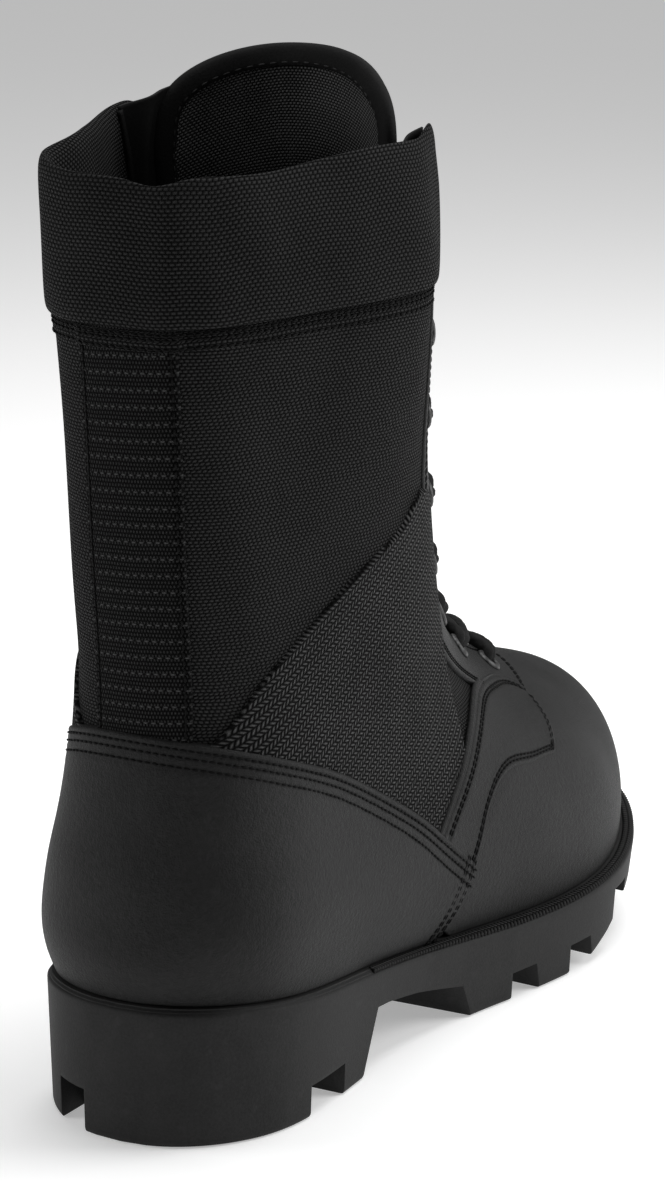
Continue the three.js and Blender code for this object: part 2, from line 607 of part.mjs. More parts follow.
const treadHeight = (x) => TOE_SPRING * steps(TREAD_RISE, x / SOLE_LENGTH);

// Groove across the tread from outside the edge to its inner end, a slanted box in plan.
function groove(fromX, toX, { edge, end, slant }, ceiling) {
  const lean = slant * BALL_WIDTH;
  const shape = new THREE.Shape([
    new THREE.Vector2(fromX, edge * BALL_WIDTH),
    new THREE.Vector2(toX, edge * BALL_WIDTH),
    new THREE.Vector2(toX + lean, end * BALL_WIDTH),
    new THREE.Vector2(fromX + lean, end * BALL_WIDTH),
  ]);
  const depth = ceiling + LUG_DEPTH;
  const geometry = new THREE.ExtrudeGeometry(shape, { depth, bevelEnabled: false });
  geometry.translate(0, 0, -LUG_DEPTH);
  return toSolid(geometry);
}

function outsoleGeometry() {
  const bottom = soleRing(-SIDE_DRAFT, 1, 0);
  bottom.forEach((point) => { point.z = treadHeight(point.x); });
  let solid = toSolid(stack([
    soleRing(SEAT_EDGE, 0, -FIT_GAP),
    soleRing(-RIM_ROUND, 1, -RIM_DROP + RIM_ROUND / 2),
    soleRing(0, 1, -RIM_DROP - RIM_ROUND / 2),
    bottom,
  ]));
  const archShape = new THREE.Shape(
    ARCH.map(([x, z]) => new THREE.Vector2(x * SOLE_LENGTH, z * SOLE_HEIGHT)));
  const arch = new THREE.ExtrudeGeometry(archShape, { depth: 2 * BALL_WIDTH, bevelEnabled: false });
  arch.rotateX(Math.PI / 2);
  arch.translate(0, BALL_WIDTH, 0);
  solid = solid.subtract(toSolid(arch));
  const pitch = LUG_LENGTH + LUG_GAP;
  for (const row of LUG_GROOVES) {
    for (let i = 0; i < LUG_ROWS; i += 1) {
      const x = FOREPART * SOLE_LENGTH + LUG_LENGTH + (i + row.shift) * pitch;
      const ceiling = treadHeight(x + LUG_GAP / 2) + LUG_DEPTH;
      solid = solid.subtract(groove(x, x + LUG_GAP, row, ceiling));
    }
  }
  for (const notch of HEEL_NOTCHES) {
    const [from, to] = [notch.from * SOLE_LENGTH, notch.to * SOLE_LENGTH];
    solid = solid.subtract(groove(from, to, notch, notch.height * SOLE_HEIGHT));
  }
  return fromSolid(solid);
}

function insoleGeometry() {
  const inward = -(UPPER_WALL + 2 * FIT_GAP);
  return stack([soleRing(inward, 0, INSOLE), soleRing(inward, 0, 0)]);
}

// Ring with its axis along the surface normal, seated on the leather with a bevelled edge.
function ringGeometry(turn, level, radius) {
  const crown = radius - EYELET_HEIGHT / 3;
  const profile = [[EYELET_HOLE, 0], [radius, 0], [crown, EYELET_HEIGHT], [EYELET_HOLE, EYELET_HEIGHT],
    [EYELET_HOLE, 0]];
  const geometry = new THREE.LatheGeometry(profile.map(([x, y]) => new THREE.Vector2(x, y)), EYELET_SIDES);
  const seat = skinPoint(turn, level, LEATHER + 2.5 * FIT_GAP);
  const axis = new THREE.Vector3(0, 1, 0);
  geometry.applyQuaternion(new THREE.Quaternion().setFromUnitVectors(axis, lastNormal(turn, level)));
  geometry.translate(seat.x, seat.y, seat.z);
  return fromSolid(toSolid(geometry));
}

// One bar of lace from a lateral eyelet to a medial one, over the front of the tongue.
function laceBar(lateral, medial) {
  const ends = [Math.PI - THREE.MathUtils.degToRad(lateral.lateral),
    THREE.MathUtils.degToRad(medial.medial) - Math.PI];
  const clear = LEATHER + 3 * FIT_GAP + LACE_DIAMETER / 2;
  const at = (share) => {
    const level = THREE.MathUtils.lerp(lateral.level, medial.level, share);
    const round = THREE.MathUtils.lerp(ends[0], ends[1], share);
    const turn = round >= 0 ? Math.PI - round : -Math.PI - round;
    return skinPoint(turn, level, clear);
  };
  const [start, end] = [at(LACE_REACH), at(1 - LACE_REACH)];
  const hug = steps(LACE_HUG, (lateral.level + medial.level) / 2);
  const path = range(LACE_STEPS, 0, 1).map((share) => {
    const straight = start.clone().lerp(end, share);
    return straight.lerp(at(THREE.MathUtils.lerp(LACE_REACH, 1 - LACE_REACH, share)), hug);
  });
  const corners = range(LACE_SIDES - 1, 0, LACE_SIDES - 1).map((i) => new THREE.Vector2(
    Math.cos(2 * Math.PI * i / LACE_SIDES), Math.sin(2 * Math.PI * i / LACE_SIDES)));
  const section = new THREE.Shape(corners.map((corner) => corner.multiplyScalar(LACE_DIAMETER / 2)));
  const extrudePath = new THREE.CatmullRomCurve3(path);
  return toSolid(new THREE.ExtrudeGeometry(section, { steps: LACE_STEPS, bevelEnabled: false, extrudePath }));
}

// Straight bar across the lowest pair, and a cross from each pair to the next.
const laceBarGeometry = () => fromSolid(laceBar(EYELETS[0], EYELETS[0]));
const laceCrossGeometry = (i) => fromSolid(
  laceBar(EYELETS[i], EYELETS[i + 1]).add(laceBar(EYELETS[i + 1], EYELETS[i])));

// The boot
const boot = new THREE.Group();
function place(name, geometry, look) {
  const mesh = new THREE.Mesh(geometry, new THREE.MeshStandardMaterial(looks[look]));
  mesh.name = name;
  boot.add(mesh);
}

place('outsole', outsoleGeometry(), 'rubber');
place('insole', insoleGeometry(), 'lining');
place('upper', upperForm(0, -UPPER_WALL, UPPER_TOP), 'cloth');
place('tongue', tongueGeometry(), 'lining');
place('cuff', cuffGeometry(), 'cloth');
place('vamp', panel(leatherSkin, vampOutline, 'both'), 'leather');
place('counter', panel(leatherSkin, counterOutline, 'both'), 'leather');
place('backstay', backstayGeometry(), 'webbing');
for (const side of ['lateral', 'medial']) {
  place(`tab_${side}`, panel(leatherSkin, tabOutline, side), 'leather');
  place(`eyestay_${side}`, panel(leatherSkin, eyestayOutline, side), 'leather');
  place(`strap_${side}`, panel(webbingSkin, strapOutline, side), 'webbing');
  place(`gusset_${side}`, gussetGeometry(side), 'cloth');
  EYELETS.forEach((eyelet, i) => {
    const turn = THREE.MathUtils.degToRad(eyelet[side]) * (side === 'lateral' ? 1 : -1);
    place(`eyelet_${side}_${i + 1}`, ringGeometry(turn, eyelet.level, EYELET_RADIUS), 'metal');
  });
}
VENTS.forEach(({ turn, level }, i) => {
  place(`vent_${i + 1}`, ringGeometry(THREE.MathUtils.degToRad(turn), level, VENT_RADIUS), 'metal');
});
place('lace_bar', laceBarGeometry(), 'lace');
for (let i = 0; i < EYELETS.length - 1; i += 1) place(`lace_cross_${i + 1}`, laceCrossGeometry(i), 'lace');
const bounds = new THREE.Box3().setFromObject(boot);
boot.position.set(-(bounds.min.x + bounds.max.x) / 2, -(bounds.min.y + bounds.max.y) / 2, -bounds.min.z);

export default boot;
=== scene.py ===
# %% [markdown]
# # A jungle boot
#
# A hot-weather boot has a leather foot, a woven nylon shaft, a soft padded collar and a deep
# lugged rubber sole. This lesson dresses the CAD model of one right boot. Every piece is laid
# over the same last, the foot-shaped form that a shoemaker stretches the upper over, so the
# first cells write that form down as a function and the later ones only say where each
# piece lies on it.

# %% Frame of the boot
from functools import lru_cache
from math import cos, radians, sin

import bpy
import numpy as np
from mathutils import Matrix, Vector


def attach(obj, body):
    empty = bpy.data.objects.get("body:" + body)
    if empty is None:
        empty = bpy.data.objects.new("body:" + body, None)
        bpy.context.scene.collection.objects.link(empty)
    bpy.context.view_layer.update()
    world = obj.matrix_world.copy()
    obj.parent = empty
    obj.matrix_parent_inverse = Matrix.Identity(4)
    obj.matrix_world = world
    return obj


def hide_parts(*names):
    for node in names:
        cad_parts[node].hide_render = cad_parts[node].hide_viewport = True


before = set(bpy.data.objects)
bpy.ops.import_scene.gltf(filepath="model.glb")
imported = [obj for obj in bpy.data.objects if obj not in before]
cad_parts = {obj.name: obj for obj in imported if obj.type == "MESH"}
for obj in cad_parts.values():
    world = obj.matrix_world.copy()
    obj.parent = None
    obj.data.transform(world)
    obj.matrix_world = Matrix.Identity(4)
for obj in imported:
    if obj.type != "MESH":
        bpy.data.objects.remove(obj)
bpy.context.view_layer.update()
MM = 0.001

# %% [markdown]
# The driving sizes are those of the CAD model, in millimetres. X runs from the heel to the
# toe, Y to the inner side of the foot and Z up. ORIGIN carries the last's own zero, the back of
# the heel on the floor, to the frame's zero, which is the middle of the boot's box.

# %% Driving sizes
SOLE_LENGTH = 306
BALL_WIDTH = 110
SOLE_HEIGHT = 43.5
COLLAR_HEIGHT = 281
SHAFT_RISE = COLLAR_HEIGHT - SOLE_HEIGHT
ORIGIN = np.array([-152.212, 1.803, 0.0])
UPPER_WALL = 1.8

# %% [markdown]
# The camera comes first, because the whole boot is judged through it. Its place was worked
# out from the photograph: behind the heel on the outer side, a little above, with a long lens.
# The small shift only moves the frame, so verticals stay as they were.

# %% Camera
def linked(name, data):
    """New object of the scene."""
    made = bpy.data.objects.new(name, data)
    bpy.context.scene.collection.objects.link(made)
    return made


CAMERA_PLACE = np.array([-881.2, -550.4, 421.3])
CAMERA_TURN = radians(28.56)
CAMERA_DIP = radians(14.20)
CAMERA_ROLL = radians(0.26)
PHOTO_HEIGHT = 1200
CAMERA_FOCUS = 3793 / PHOTO_HEIGHT
SHIFT_RIGHT, SHIFT_UP = 0.6, 18
camera_data = bpy.data.cameras.new("camera")
camera = linked("camera", camera_data)
bpy.context.scene.camera = camera
ahead = Vector((cos(CAMERA_TURN) * cos(CAMERA_DIP), sin(CAMERA_TURN) * cos(CAMERA_DIP),
                -sin(CAMERA_DIP)))
level_right = Vector((sin(CAMERA_TURN), -cos(CAMERA_TURN), 0))
level_up = level_right.cross(ahead)
right = cos(CAMERA_ROLL) * level_right + sin(CAMERA_ROLL) * level_up
up = cos(CAMERA_ROLL) * level_up - sin(CAMERA_ROLL) * level_right
place = Vector((CAMERA_PLACE + ORIGIN) * MM)
camera.matrix_world = Matrix((
    (right.x, up.x, -ahead.x, place.x),
    (right.y, up.y, -ahead.y, place.y),
    (right.z, up.z, -ahead.z, place.z),
    (0, 0, 0, 1)))
camera_data.sensor_width = 36
camera_data.lens = CAMERA_FOCUS * camera_data.sensor_width
camera_data.shift_x = SHIFT_RIGHT / PHOTO_HEIGHT
camera_data.shift_y = SHIFT_UP / PHOTO_HEIGHT
camera_data.clip_start = 0.05
camera_data.clip_end = 30
print("lens", round(camera_data.lens, 1), "mm")

# %% [markdown]
# ## The last
#
# A shoemaker measures a last at a few heights and eases a smooth form through them. The same
# is done here: two tables hold shares of the driving sizes, and natural cubic splines run
# through them. A place on the form is then two numbers. Its turn is 0 at the back of the heel
# and half a circle in front, positive on the outer side, and its level is 0 at the sole and
# 13 at the top of the collar.

# %% Splines
@lru_cache(maxsize=None)
def bend_matrix(knots, flat_ends):
    """Turns the heights at the knots into the second slopes there."""
    n = len(knots)
    step = np.diff(knots)
    left, right_side = np.eye(n), np.zeros((n, n))
    for i in range(1, n - 1):
        left[i, i - 1:i + 2] = step[i - 1], 2 * (step[i - 1] + step[i]), step[i]
        right_side[i, i - 1:i + 2] = 6 / step[i - 1], -6 / step[i - 1] - 6 / step[i], 6 / step[i]
    if flat_ends:
        left[0, :2] = 2 * step[0], step[0]
        right_side[0, :2] = -6 / step[0], 6 / step[0]
        left[-1, -2:] = step[-1], 2 * step[-1]
        right_side[-1, -2:] = 6 / step[-1], -6 / step[-1]
    return np.linalg.solve(left, right_side)


def through(knots, heights, x, flat_ends=False):
    """Smooth curve through the heights at the knots, read at x."""
    knots = np.asarray(knots, float)
    heights = np.asarray(heights, float)
    x = np.asarray(x, float)
    bends = heights @ bend_matrix(tuple(knots), flat_ends).T
    i = np.clip(np.searchsorted(knots, x, side="right") - 1, 0, len(knots) - 2)
    step = knots[i + 1] - knots[i]
    a = (knots[i + 1] - x) / step
    b = 1 - a

    def at(values, k):
        return values[k] if values.ndim == 1 else np.take_along_axis(values, k[..., None], -1)[..., 0]
    bend = (a ** 3 - a) * at(bends, i) + (b ** 3 - b) * at(bends, i + 1)
    return a * at(heights, i) + b * at(heights, i + 1) + bend * step * step / 6


# %% Sections of the last
PROFILE = {
    "level": list(range(14)),
    "back_x": [.0160, .0095, .0040, .0043, .0090, .0155, .0280, .0405, .0485, .0458, .0382, .0320,
               .0232, .0130],
    "back_z": [0, .0235, .0500, .0782, .1114, .150, .197, .2557, .328, .424, .5458, .6825, .8314, 1],
    "front_x": [.974, .980, .967, .930, .8637, .7739, .6765, .590, .5242, .4784, .4464, .4278, .4176,
                .4127],
    "front_z": [-.0206, .0273, .0841, .1375, .183, .218, .2578, .3196, .399, .4929, .6014, .7158,
                .8515, 1.0366],
}
STATIONS = np.array([.07, .25, .5, .75, .93])
WIDTH_LEVELS = [0, 2, 4, 6, 8, 10, 12, 13]
WIDTHS = {
    "lateral": [[.285, .316, .342, .441, .282], [.306, .350, .389, .435, .268],
                [.312, .357, .380, .366, .205], [.273, .335, .361, .311, .166],
                [.218, .317, .363, .345, .216], [.204, .302, .380, .384, .273],
                [.198, .311, .420, .455, .282], [.215, .317, .418, .452, .315]],
    "medial": [[.316, .335, .318, .400, .277], [.329, .360, .359, .426, .300],
               [.317, .356, .365, .371, .215], [.279, .333, .348, .327, .180],
               [.248, .316, .359, .335, .195], [.236, .307, .371, .389, .255],
               [.249, .317, .395, .441, .277], [.273, .332, .410, .455, .300]],
}
SAG = [-.322, -.207, -.092, -.023, 0, 0, 0, 0]
MEDIAL_LIFT = np.array([[0, 0], [.08, .012], [.35, .02], [.85, .02], [1, 0]]).T
BLUNTNESS = 0.9
SAG_SKEW = 1.3
STATION_ANGLES = np.arccos(1 - 2 * STATIONS)
THROAT = {"level": [5.35, 7, 9, 11, 13], "lateral": [166, 160, 155, 146, 137],
          "medial": [166, 160, 155, 143, 122]}
THROAT_BOTTOM = THROAT["level"][0]


def profile(name, level):
    return through(PROFILE["level"], PROFILE[name], level)


def last_point(turn, level):
    """Point of the last in millimetres."""
    turn, level = np.broadcast_arrays(np.asarray(turn, float), np.asarray(level, float))
    turn = (turn + np.pi) % (2 * np.pi) - np.pi
    angle = np.abs(turn)
    share = (1 - np.cos(angle)) / 2
    x = profile("back_x", level) * (1 - share) + profile("front_x", level) * share
    z = profile("back_z", level) * (1 - share) + profile("front_z", level) * share
    droop = SOLE_HEIGHT * through(WIDTH_LEVELS, SAG, level) * np.sin(np.pi * share ** SAG_SKEW)
    knots = np.concatenate([[0], STATION_ANGLES, [np.pi]])
    y = np.zeros(turn.shape)
    for side, sign in (("lateral", -1), ("medial", 1)):
        table = np.array(WIDTHS[side]) / np.sin(STATION_ANGLES) ** BLUNTNESS
        columns = np.stack([through(WIDTH_LEVELS, column, level) for column in table.T], -1)
        columns = np.concatenate([columns[..., :1], columns, columns[..., -1:]], -1)
        width = through(knots, columns, angle, flat_ends=True)
        width = BALL_WIDTH * width * np.maximum(np.sin(angle), 0) ** BLUNTNESS
        y = np.where((turn >= 0) == (side == "lateral"), sign * width, y)
    raised = np.clip(level - 12, 0, 1)
    raised = raised ** 2 * (3 - 2 * raised)
    lift = np.where(turn < 0, SHAFT_RISE * raised * np.interp(share, *MEDIAL_LIFT), 0)
    return np.stack([SOLE_LENGTH * x, y, SOLE_HEIGHT + SHAFT_RISE * z + droop + lift], -1)


print("ball width", round(float(np.ptp(last_point(np.radians([100, -100]), [1, 1])[:, 1]))), "mm")

# %% [markdown]
# Worn leather and cloth are never as even as a last. The main rises and hollows are listed in a
# short table, each a soft oval in turn and level, and every layer shares them, so that a panel
# and the cloth beneath it swell together.

# %% Soft rises and hollows
RELIEF = [
    # turn and level in the middle, half spreads of both, lean in levels per degree, rise in mm
    (17, 12.4, 7, 1.0, 0, 0.9), (17, 10.4, 7, 1.6, 0, 0.6), (3, 12.6, 9, 0.7, 0, -0.9),
    (33, 12.8, 9, 0.4, 0.01, -0.7), (52, 12.5, 9, 0.4, -0.01, 0.4), (78, 12.8, 10, 0.35, -0.01, -0.6),
    (104, 12.5, 8, 0.4, 0.01, 0.4), (122, 12.7, 6, 0.5, 0.01, -0.8), (-30, 12.7, 14, 0.5, 0, -0.5),
    (34, 9.2, 10, 0.8, -0.03, -0.8), (64, 9.8, 12, 0.4, 0.02, 0.5), (82, 8.4, 14, 0.45, 0.03, -0.6),
    (58, 11.0, 14, 0.5, -0.02, -0.5), (96, 10.6, 10, 0.6, -0.03, 0.5), (112, 7.4, 9, 0.5, 0.03, -0.9),
    (30, 5.6, 12, 1.0, 0.01, -0.7), (60, 3.2, 14, 1.0, 0.01, 0.5), (20, 3.0, 9, 1.2, 0, 0.4),
    (136, 2.4, 7, 1.0, 0.02, -1.0), (124, 3.6, 6, 0.8, 0.03, 0.6), (148, 4.2, 6, 0.5, 0.03, -0.6),
    (-30, 8.8, 12, 0.6, 0.02, -0.7), (-70, 9.6, 14, 0.6, -0.02, 0.6), (-112, 7.2, 9, 0.5, 0.03, -0.9),
    (-136, 2.4, 7, 1.0, 0.02, -0.8),
]
RIM_WAVES = [
    # turn, half spread and rise of the collar's rim in mm
    (-6, 9, 0.8), (12, 8, -1.4), (30, 8, 0.5), (58, 12, -0.8), (92, 12, 0.6), (116, 8, -0.8),
    (128, 8, 1.2), (138, 3.5, -3.0), (-122, 5, -2.0),
]


def relief(turn, level):
    degrees = np.degrees((turn + np.pi) % (2 * np.pi) - np.pi)
    total = 0
    for at_turn, at_level, wide, tall, lean, rise in RELIEF:
        across = (degrees - at_turn) / wide
        along = (level - at_level - lean * (degrees - at_turn)) / tall
        total = total + rise * np.exp(-across ** 2 - along ** 2)
    return total


def rim_wave(turn, level):
    degrees = np.degrees((turn + np.pi) % (2 * np.pi) - np.pi)
    total = sum(rise * np.exp(-((degrees - at_turn) / wide) ** 2) for at_turn, wide, rise in RIM_WAVES)
    return total * np.clip((level - 12.3) / 0.7, 0, 1) ** 2


def last_normal(turn, level):
    """Outward direction, level at the sole so that the layers end side by side on its seat."""
    nudge = 0.01
    around = last_point(turn + nudge, level) - last_point(turn - nudge, level)
    rising = last_point(turn, level + nudge) - last_point(turn, level - nudge)
    normal = np.cross(around, rising)
    normal[..., 2] *= np.clip(level / 0.6, 0, 1)
    return normal / np.linalg.norm(normal, axis=-1, keepdims=True)


def skin(turn, level, height):
    """Point at a height over the last, with its soft rises and hollows."""
    turn, level, height = np.broadcast_arrays(*(np.asarray(v, float) for v in (turn, level, height)))
    lift = height + relief(turn, level)
    point = last_point(turn, level) + last_normal(turn, level) * lift[..., None]
    point[..., 2] += rim_wave(turn, level)
    return point


def throat_edge(side, level):
    """Turn of the edge of the throat, positive on both sides."""
    return np.radians(through(THROAT["level"], THROAT[side], np.maximum(level, THROAT_BOTTOM)))


def on_side(points, side):
    """Turn and level of places read on the side view, as shares of length and shaft rise."""
    x, z = np.array(points, float).T
    low, high = np.full(x.shape, -1.0), np.full(x.shape, 13.2)
    for _ in range(50):
        level = (low + high) / 2
        back, front = profile("back_x", level), profile("front_x", level)
        share = np.clip((x - back) / (front - back), 0, 1)
        here = profile("back_z", level) * (1 - share) + profile("front_z", level) * share
        droop = through(WIDTH_LEVELS, SAG, level) * np.sin(np.pi * share ** SAG_SKEW)
        above = here + droop * SOLE_HEIGHT / SHAFT_RISE > z
        high, low = np.where(above, level, high), np.where(above, low, level)
    turn = np.arccos(1 - 2 * share)
    return np.stack([turn if side == "lateral" else -turn, level], -1)


# %% [markdown]
# ## Meshes
#
# Every sheet of the boot is a grid of points with an outer and an inner face. Keeping both
# makes each piece a closed body, as cut leather is, and its edge gets real thickness. The
# grids also remember how many millimetres of cloth lie along and across them, so a weave can
# follow the piece instead of floating in space.

# %% Mesh helpers
def add_mesh(name, points, faces, cloth=None):
    mesh = bpy.data.meshes.new(name)
    mesh.from_pydata(((points + ORIGIN) * MM).tolist(), [], [list(map(int, f)) for f in faces])
    if cloth is not None:
        layer = mesh.attributes.new("cloth", "FLOAT_VECTOR", "POINT")
        layer.data.foreach_set("vector", np.asarray(cloth, np.float32).ravel())
    mesh.shade_smooth()
    mesh.update()
    return linked(name, mesh)


def grid_quads(rows, columns, keep=None):
    index = np.arange(rows * columns).reshape(rows, columns)
    quads = np.stack([index[:-1, :-1], index[:-1, 1:], index[1:, 1:], index[1:, :-1]], -1)
    return quads[keep] if keep is not None else quads.reshape(-1, 4)


def walls(quads, shift):
    """Faces that close the open edges of a sheet against its copy."""
    starts, ends = quads.ravel(), np.roll(quads, -1, axis=1).ravel()
    big = int(quads.max()) + 1
    lone = ~np.isin(starts * big + ends, ends * big + starts)
    a, b = starts[lone], ends[lone]
    return np.stack([b, a, a + shift, b + shift], -1)


def closed_sheet(name, outer, inner, quads, cloth=None, merge=None):
    """Body between two grids of points. Merge maps a point's number to the one it shares."""
    if merge is not None:
        quads = merge[quads]
    count = outer.reshape(-1, 3).shape[0]
    faces = np.concatenate([quads, quads[:, ::-1] + count, walls(quads, count)])
    points = np.concatenate([outer.reshape(-1, 3), inner.reshape(-1, 3)])
    used, faces = np.unique(faces, return_inverse=True)
    faces = faces.reshape(-1, 4)
    if cloth is not None:
        cloth = np.concatenate([cloth.reshape(-1, 3)] * 2)[used]
    return add_mesh(name, points[used], faces, cloth)


def travelled(points, axis):
    """Millimetres walked along one direction of a grid of points."""
    hops = np.linalg.norm(np.diff(points, axis=axis), axis=-1)
    pad = [(0, 0)] * hops.ndim
    pad[axis] = (1, 0)
    return np.cumsum(np.pad(hops, pad), axis=axis)


def cloth_of(points, middle=0):
    """Cloth coordinates of a grid: millimetres across from one column, and along."""
    across = travelled(points, 1)
    across = across - across[:, middle:middle + 1]
    along = travelled(points, 0)
    return np.stack([across, along, np.zeros_like(across)], -1)


# %% [markdown]
# ## Finishes
#
# A finish is a small graph of shader nodes. Writing its sums as Python expressions keeps them
# readable, so one class wraps a socket and turns plus, times and the rest into Math nodes.
# Whatever changes over a surface only feeds its colour, roughness and bump.

# %% Shader sums
class Wire:
    """A value in a finish that sums can be written with."""

    def __init__(self, finish, socket):
        self.finish, self.socket = finish, socket

    def sum(self, operation, *values):
        settings = {"operation": operation}
        return self.finish.node("ShaderNodeMath", settings, dict(enumerate(values))).out()

    def __add__(self, other): return self.sum("ADD", self, other)
    def __radd__(self, other): return self.sum("ADD", other, self)
    def __sub__(self, other): return self.sum("SUBTRACT", self, other)
    def __rsub__(self, other): return self.sum("SUBTRACT", other, self)
    def __mul__(self, other): return self.sum("MULTIPLY", self, other)
    def __rmul__(self, other): return self.sum("MULTIPLY", other, self)
    def __truediv__(self, other): return self.sum("DIVIDE", self, other)
    def __pow__(self, other): return self.sum("POWER", self, other)
    def __abs__(self): return self.sum("ABSOLUTE", self)
    def floor(self): return self.sum("FLOOR", self)
    def fraction(self): return self.sum("FRACT", self)
    def odd(self): return self.sum("FLOORED_MODULO", self, 2)
    def most(self, other): return self.sum("MAXIMUM", self, other)

    def step(self, low, high):
        """Soft step from low to high."""
        settings = {"interpolation_type": "SMOOTHSTEP"}
        values = {"Value": self, "From Min": low, "From Max": high}
        return self.finish.node("ShaderNodeMapRange", settings, values).out()


class Placed:
    """A node that has been put into a finish."""

    def __init__(self, finish, node):
        self.finish, self.node = finish, node

    def out(self, name=0):
        return Wire(self.finish, self.node.outputs[name])


class Finish:
    """A material under construction."""

    def __init__(self, name, roughness=0.6, specular=0.4, metallic=0.0, sheen=0.0):
        self.material = bpy.data.materials.new(name)
        self.material.use_nodes = True
        self.tree = self.material.node_tree
        self.shader = self.tree.nodes["Principled BSDF"]
        fixed = {"Roughness": roughness, "Specular IOR Level": specular, "Metallic": metallic,
                 "Sheen Weight": sheen}
        for socket, value in fixed.items():
            self.shader.inputs[socket].default_value = value

    def node(self, kind, settings=None, values=None):
        made = self.tree.nodes.new(kind)
        for key, value in (settings or {}).items():
            setattr(made, key, value)
        for key, value in (values or {}).items():
            self.feed(made.inputs[key], value)
        return Placed(self, made)

    def feed(self, socket, value):
        if isinstance(value, Wire):
            self.tree.links.new(value.socket, socket)
        else:
            socket.default_value = value

    def cloth(self):
        """Millimetres across and along the piece."""
        place = self.node("ShaderNodeAttribute", {"attribute_name": "cloth"}).out("Vector")
        parts = self.node("ShaderNodeSeparateXYZ", {}, {0: place})
        return parts.out("X"), parts.out("Y")

    def noise(self, size, detail=2.0, roughness=0.5):
        """Soft noise from 0 to 1 with spots of that size in millimetres."""
        place = self.node("ShaderNodeTexCoord").out("Object")
        values = {"Vector": place, "Scale": 1 / (size * MM), "Detail": detail, "Roughness": roughness}
        return self.node("ShaderNodeTexNoise", {}, values).out()

    def colour(self, share, dark, light):
        """Colour between two greys or tints."""
        values = {0: share, 6: (*dark, 1), 7: (*light, 1)}
        mixed = self.node("ShaderNodeMix", {"data_type": "RGBA"}, values)
        self.feed(self.shader.inputs["Base Color"], mixed.out(2))

    def roughness(self, value):
        self.feed(self.shader.inputs["Roughness"], value)

    def bump(self, height, depth):
        """Relief of that depth in millimetres where height goes from 0 to 1."""
        values = {"Height": height, "Distance": depth * MM, "Strength": 1.0}
        self.feed(self.shader.inputs["Normal"], self.node("ShaderNodeBump", {}, values).out())


def grey(level):
    return (level, level, level)


# %% [markdown]
# Leather here is a matt, finely grained side: a dense grain of half a millimetre, faint broad
# mottling from tanning, and a few pale scuffs. Its roughness drifts with the grain so the
# highlight breaks up instead of sliding over plastic.

# %% Leather and rubber
def leather_finish(name, dark=0.003, light=0.022):
    finish = Finish(name, specular=0.22)
    grain = finish.noise(0.55, detail=3, roughness=0.6)
    pores = finish.noise(1.6, detail=2)
    mottle = finish.noise(26, detail=3)
    scuff = finish.noise(9, detail=5, roughness=0.7).step(0.62, 0.78)
    tone = 0.45 * grain + 0.3 * pores + 0.35 * mottle + 0.18 * scuff
    finish.colour(tone.step(0.35, 0.95), grey(dark), grey(light))
    finish.roughness(0.42 + 0.3 * grain)
    finish.bump(0.75 * grain + 0.6 * pores, 0.5)
    return finish.material


def rubber_finish(name):
    finish = Finish(name, specular=0.2)
    skin_grain = finish.noise(0.8, detail=3, roughness=0.65)
    dust = finish.noise(14, detail=4, roughness=0.6)
    streak = finish.noise(4, detail=2).step(0.6, 0.8)
    tone = 0.5 * skin_grain + 0.6 * dust + 0.15 * streak
    finish.colour(tone.step(0.2, 0.95), grey(0.006), grey(0.025))
    finish.roughness(0.55 + 0.2 * dust)
    finish.bump(skin_grain + 0.4 * dust, 0.1)
    return finish.material


leather = leather_finish("leather")
rubber = rubber_finish("rubber")
print("made leather and rubber")

# %% [markdown]
# The cloths are woven from thick matt yarn, so each one shows as rows of small humps. One sum
# makes them all: it cuts the cloth into cells, sets every second row half a cell along, and
# raises an oval hump in each cell.

# %% Woven cloths
def humps(u, v, cell, size=(1, 1), slant=0.0):
    """Humps from 0 to 1, one in each cell of cloth. Slanted humps lean the other way each row."""
    y = v / cell[1]
    turn_about = y.floor().odd()
    fy = y.fraction() - 0.5
    x = u / cell[0] + 0.5 * turn_about
    if slant:
        x = x + slant * fy * (1 - 2 * turn_about)
    fx = x.fraction() - 0.5
    wide, tall = abs(fx) * (2 / size[0]), abs(fy) * (2 / size[1])
    return ((1 - wide ** 2.2) * (1 - tall ** 2.2).most(0)).most(0)


def woven_finish(name, cell=(1.65, 1.03), dark=0.001, light=0.03, depth=0.75, mottle=0.4):
    finish = Finish(name, roughness=0.85, specular=0.08, sheen=0.01)
    u, v = finish.cloth()
    wander = finish.noise(14, detail=2)
    weave = humps(u + 0.5 * wander, v + 0.9 * wander, cell)
    fuzz = finish.noise(0.5, detail=2)
    patch = finish.noise(22, detail=2)
    tone = weave * (1 - mottle + 2 * mottle * patch) * (0.35 + 1.3 * fuzz)
    finish.colour(tone.step(0, 1.0), grey(dark), grey(light))
    finish.roughness(0.95 - 0.25 * weave)
    finish.bump(weave + 0.2 * fuzz, depth)
    return finish.material


def strap_finish(name, ridge=1.7, hook=1.7):
    """Coarse webbing: ridges along the strap, each a chain of small slanting hooks."""
    finish = Finish(name, roughness=0.85, specular=0.1, sheen=0.01)
    u, v = finish.cloth()
    wander = finish.noise(12, detail=2)
    hooks = humps(u, v + 0.5 * wander, (hook, ridge), size=(0.8, 1), slant=0.9)
    fuzz = finish.noise(0.45, detail=2)
    patch = finish.noise(18, detail=2)
    tone = hooks * (0.5 + 0.7 * patch) * (0.2 + 1.5 * fuzz)
    finish.colour(tone.step(0.1, 0.85), grey(0.001), grey(0.07))
    finish.roughness(0.92 - 0.3 * hooks)
    finish.bump(hooks + 0.2 * fuzz, 1.0)
    return finish.material


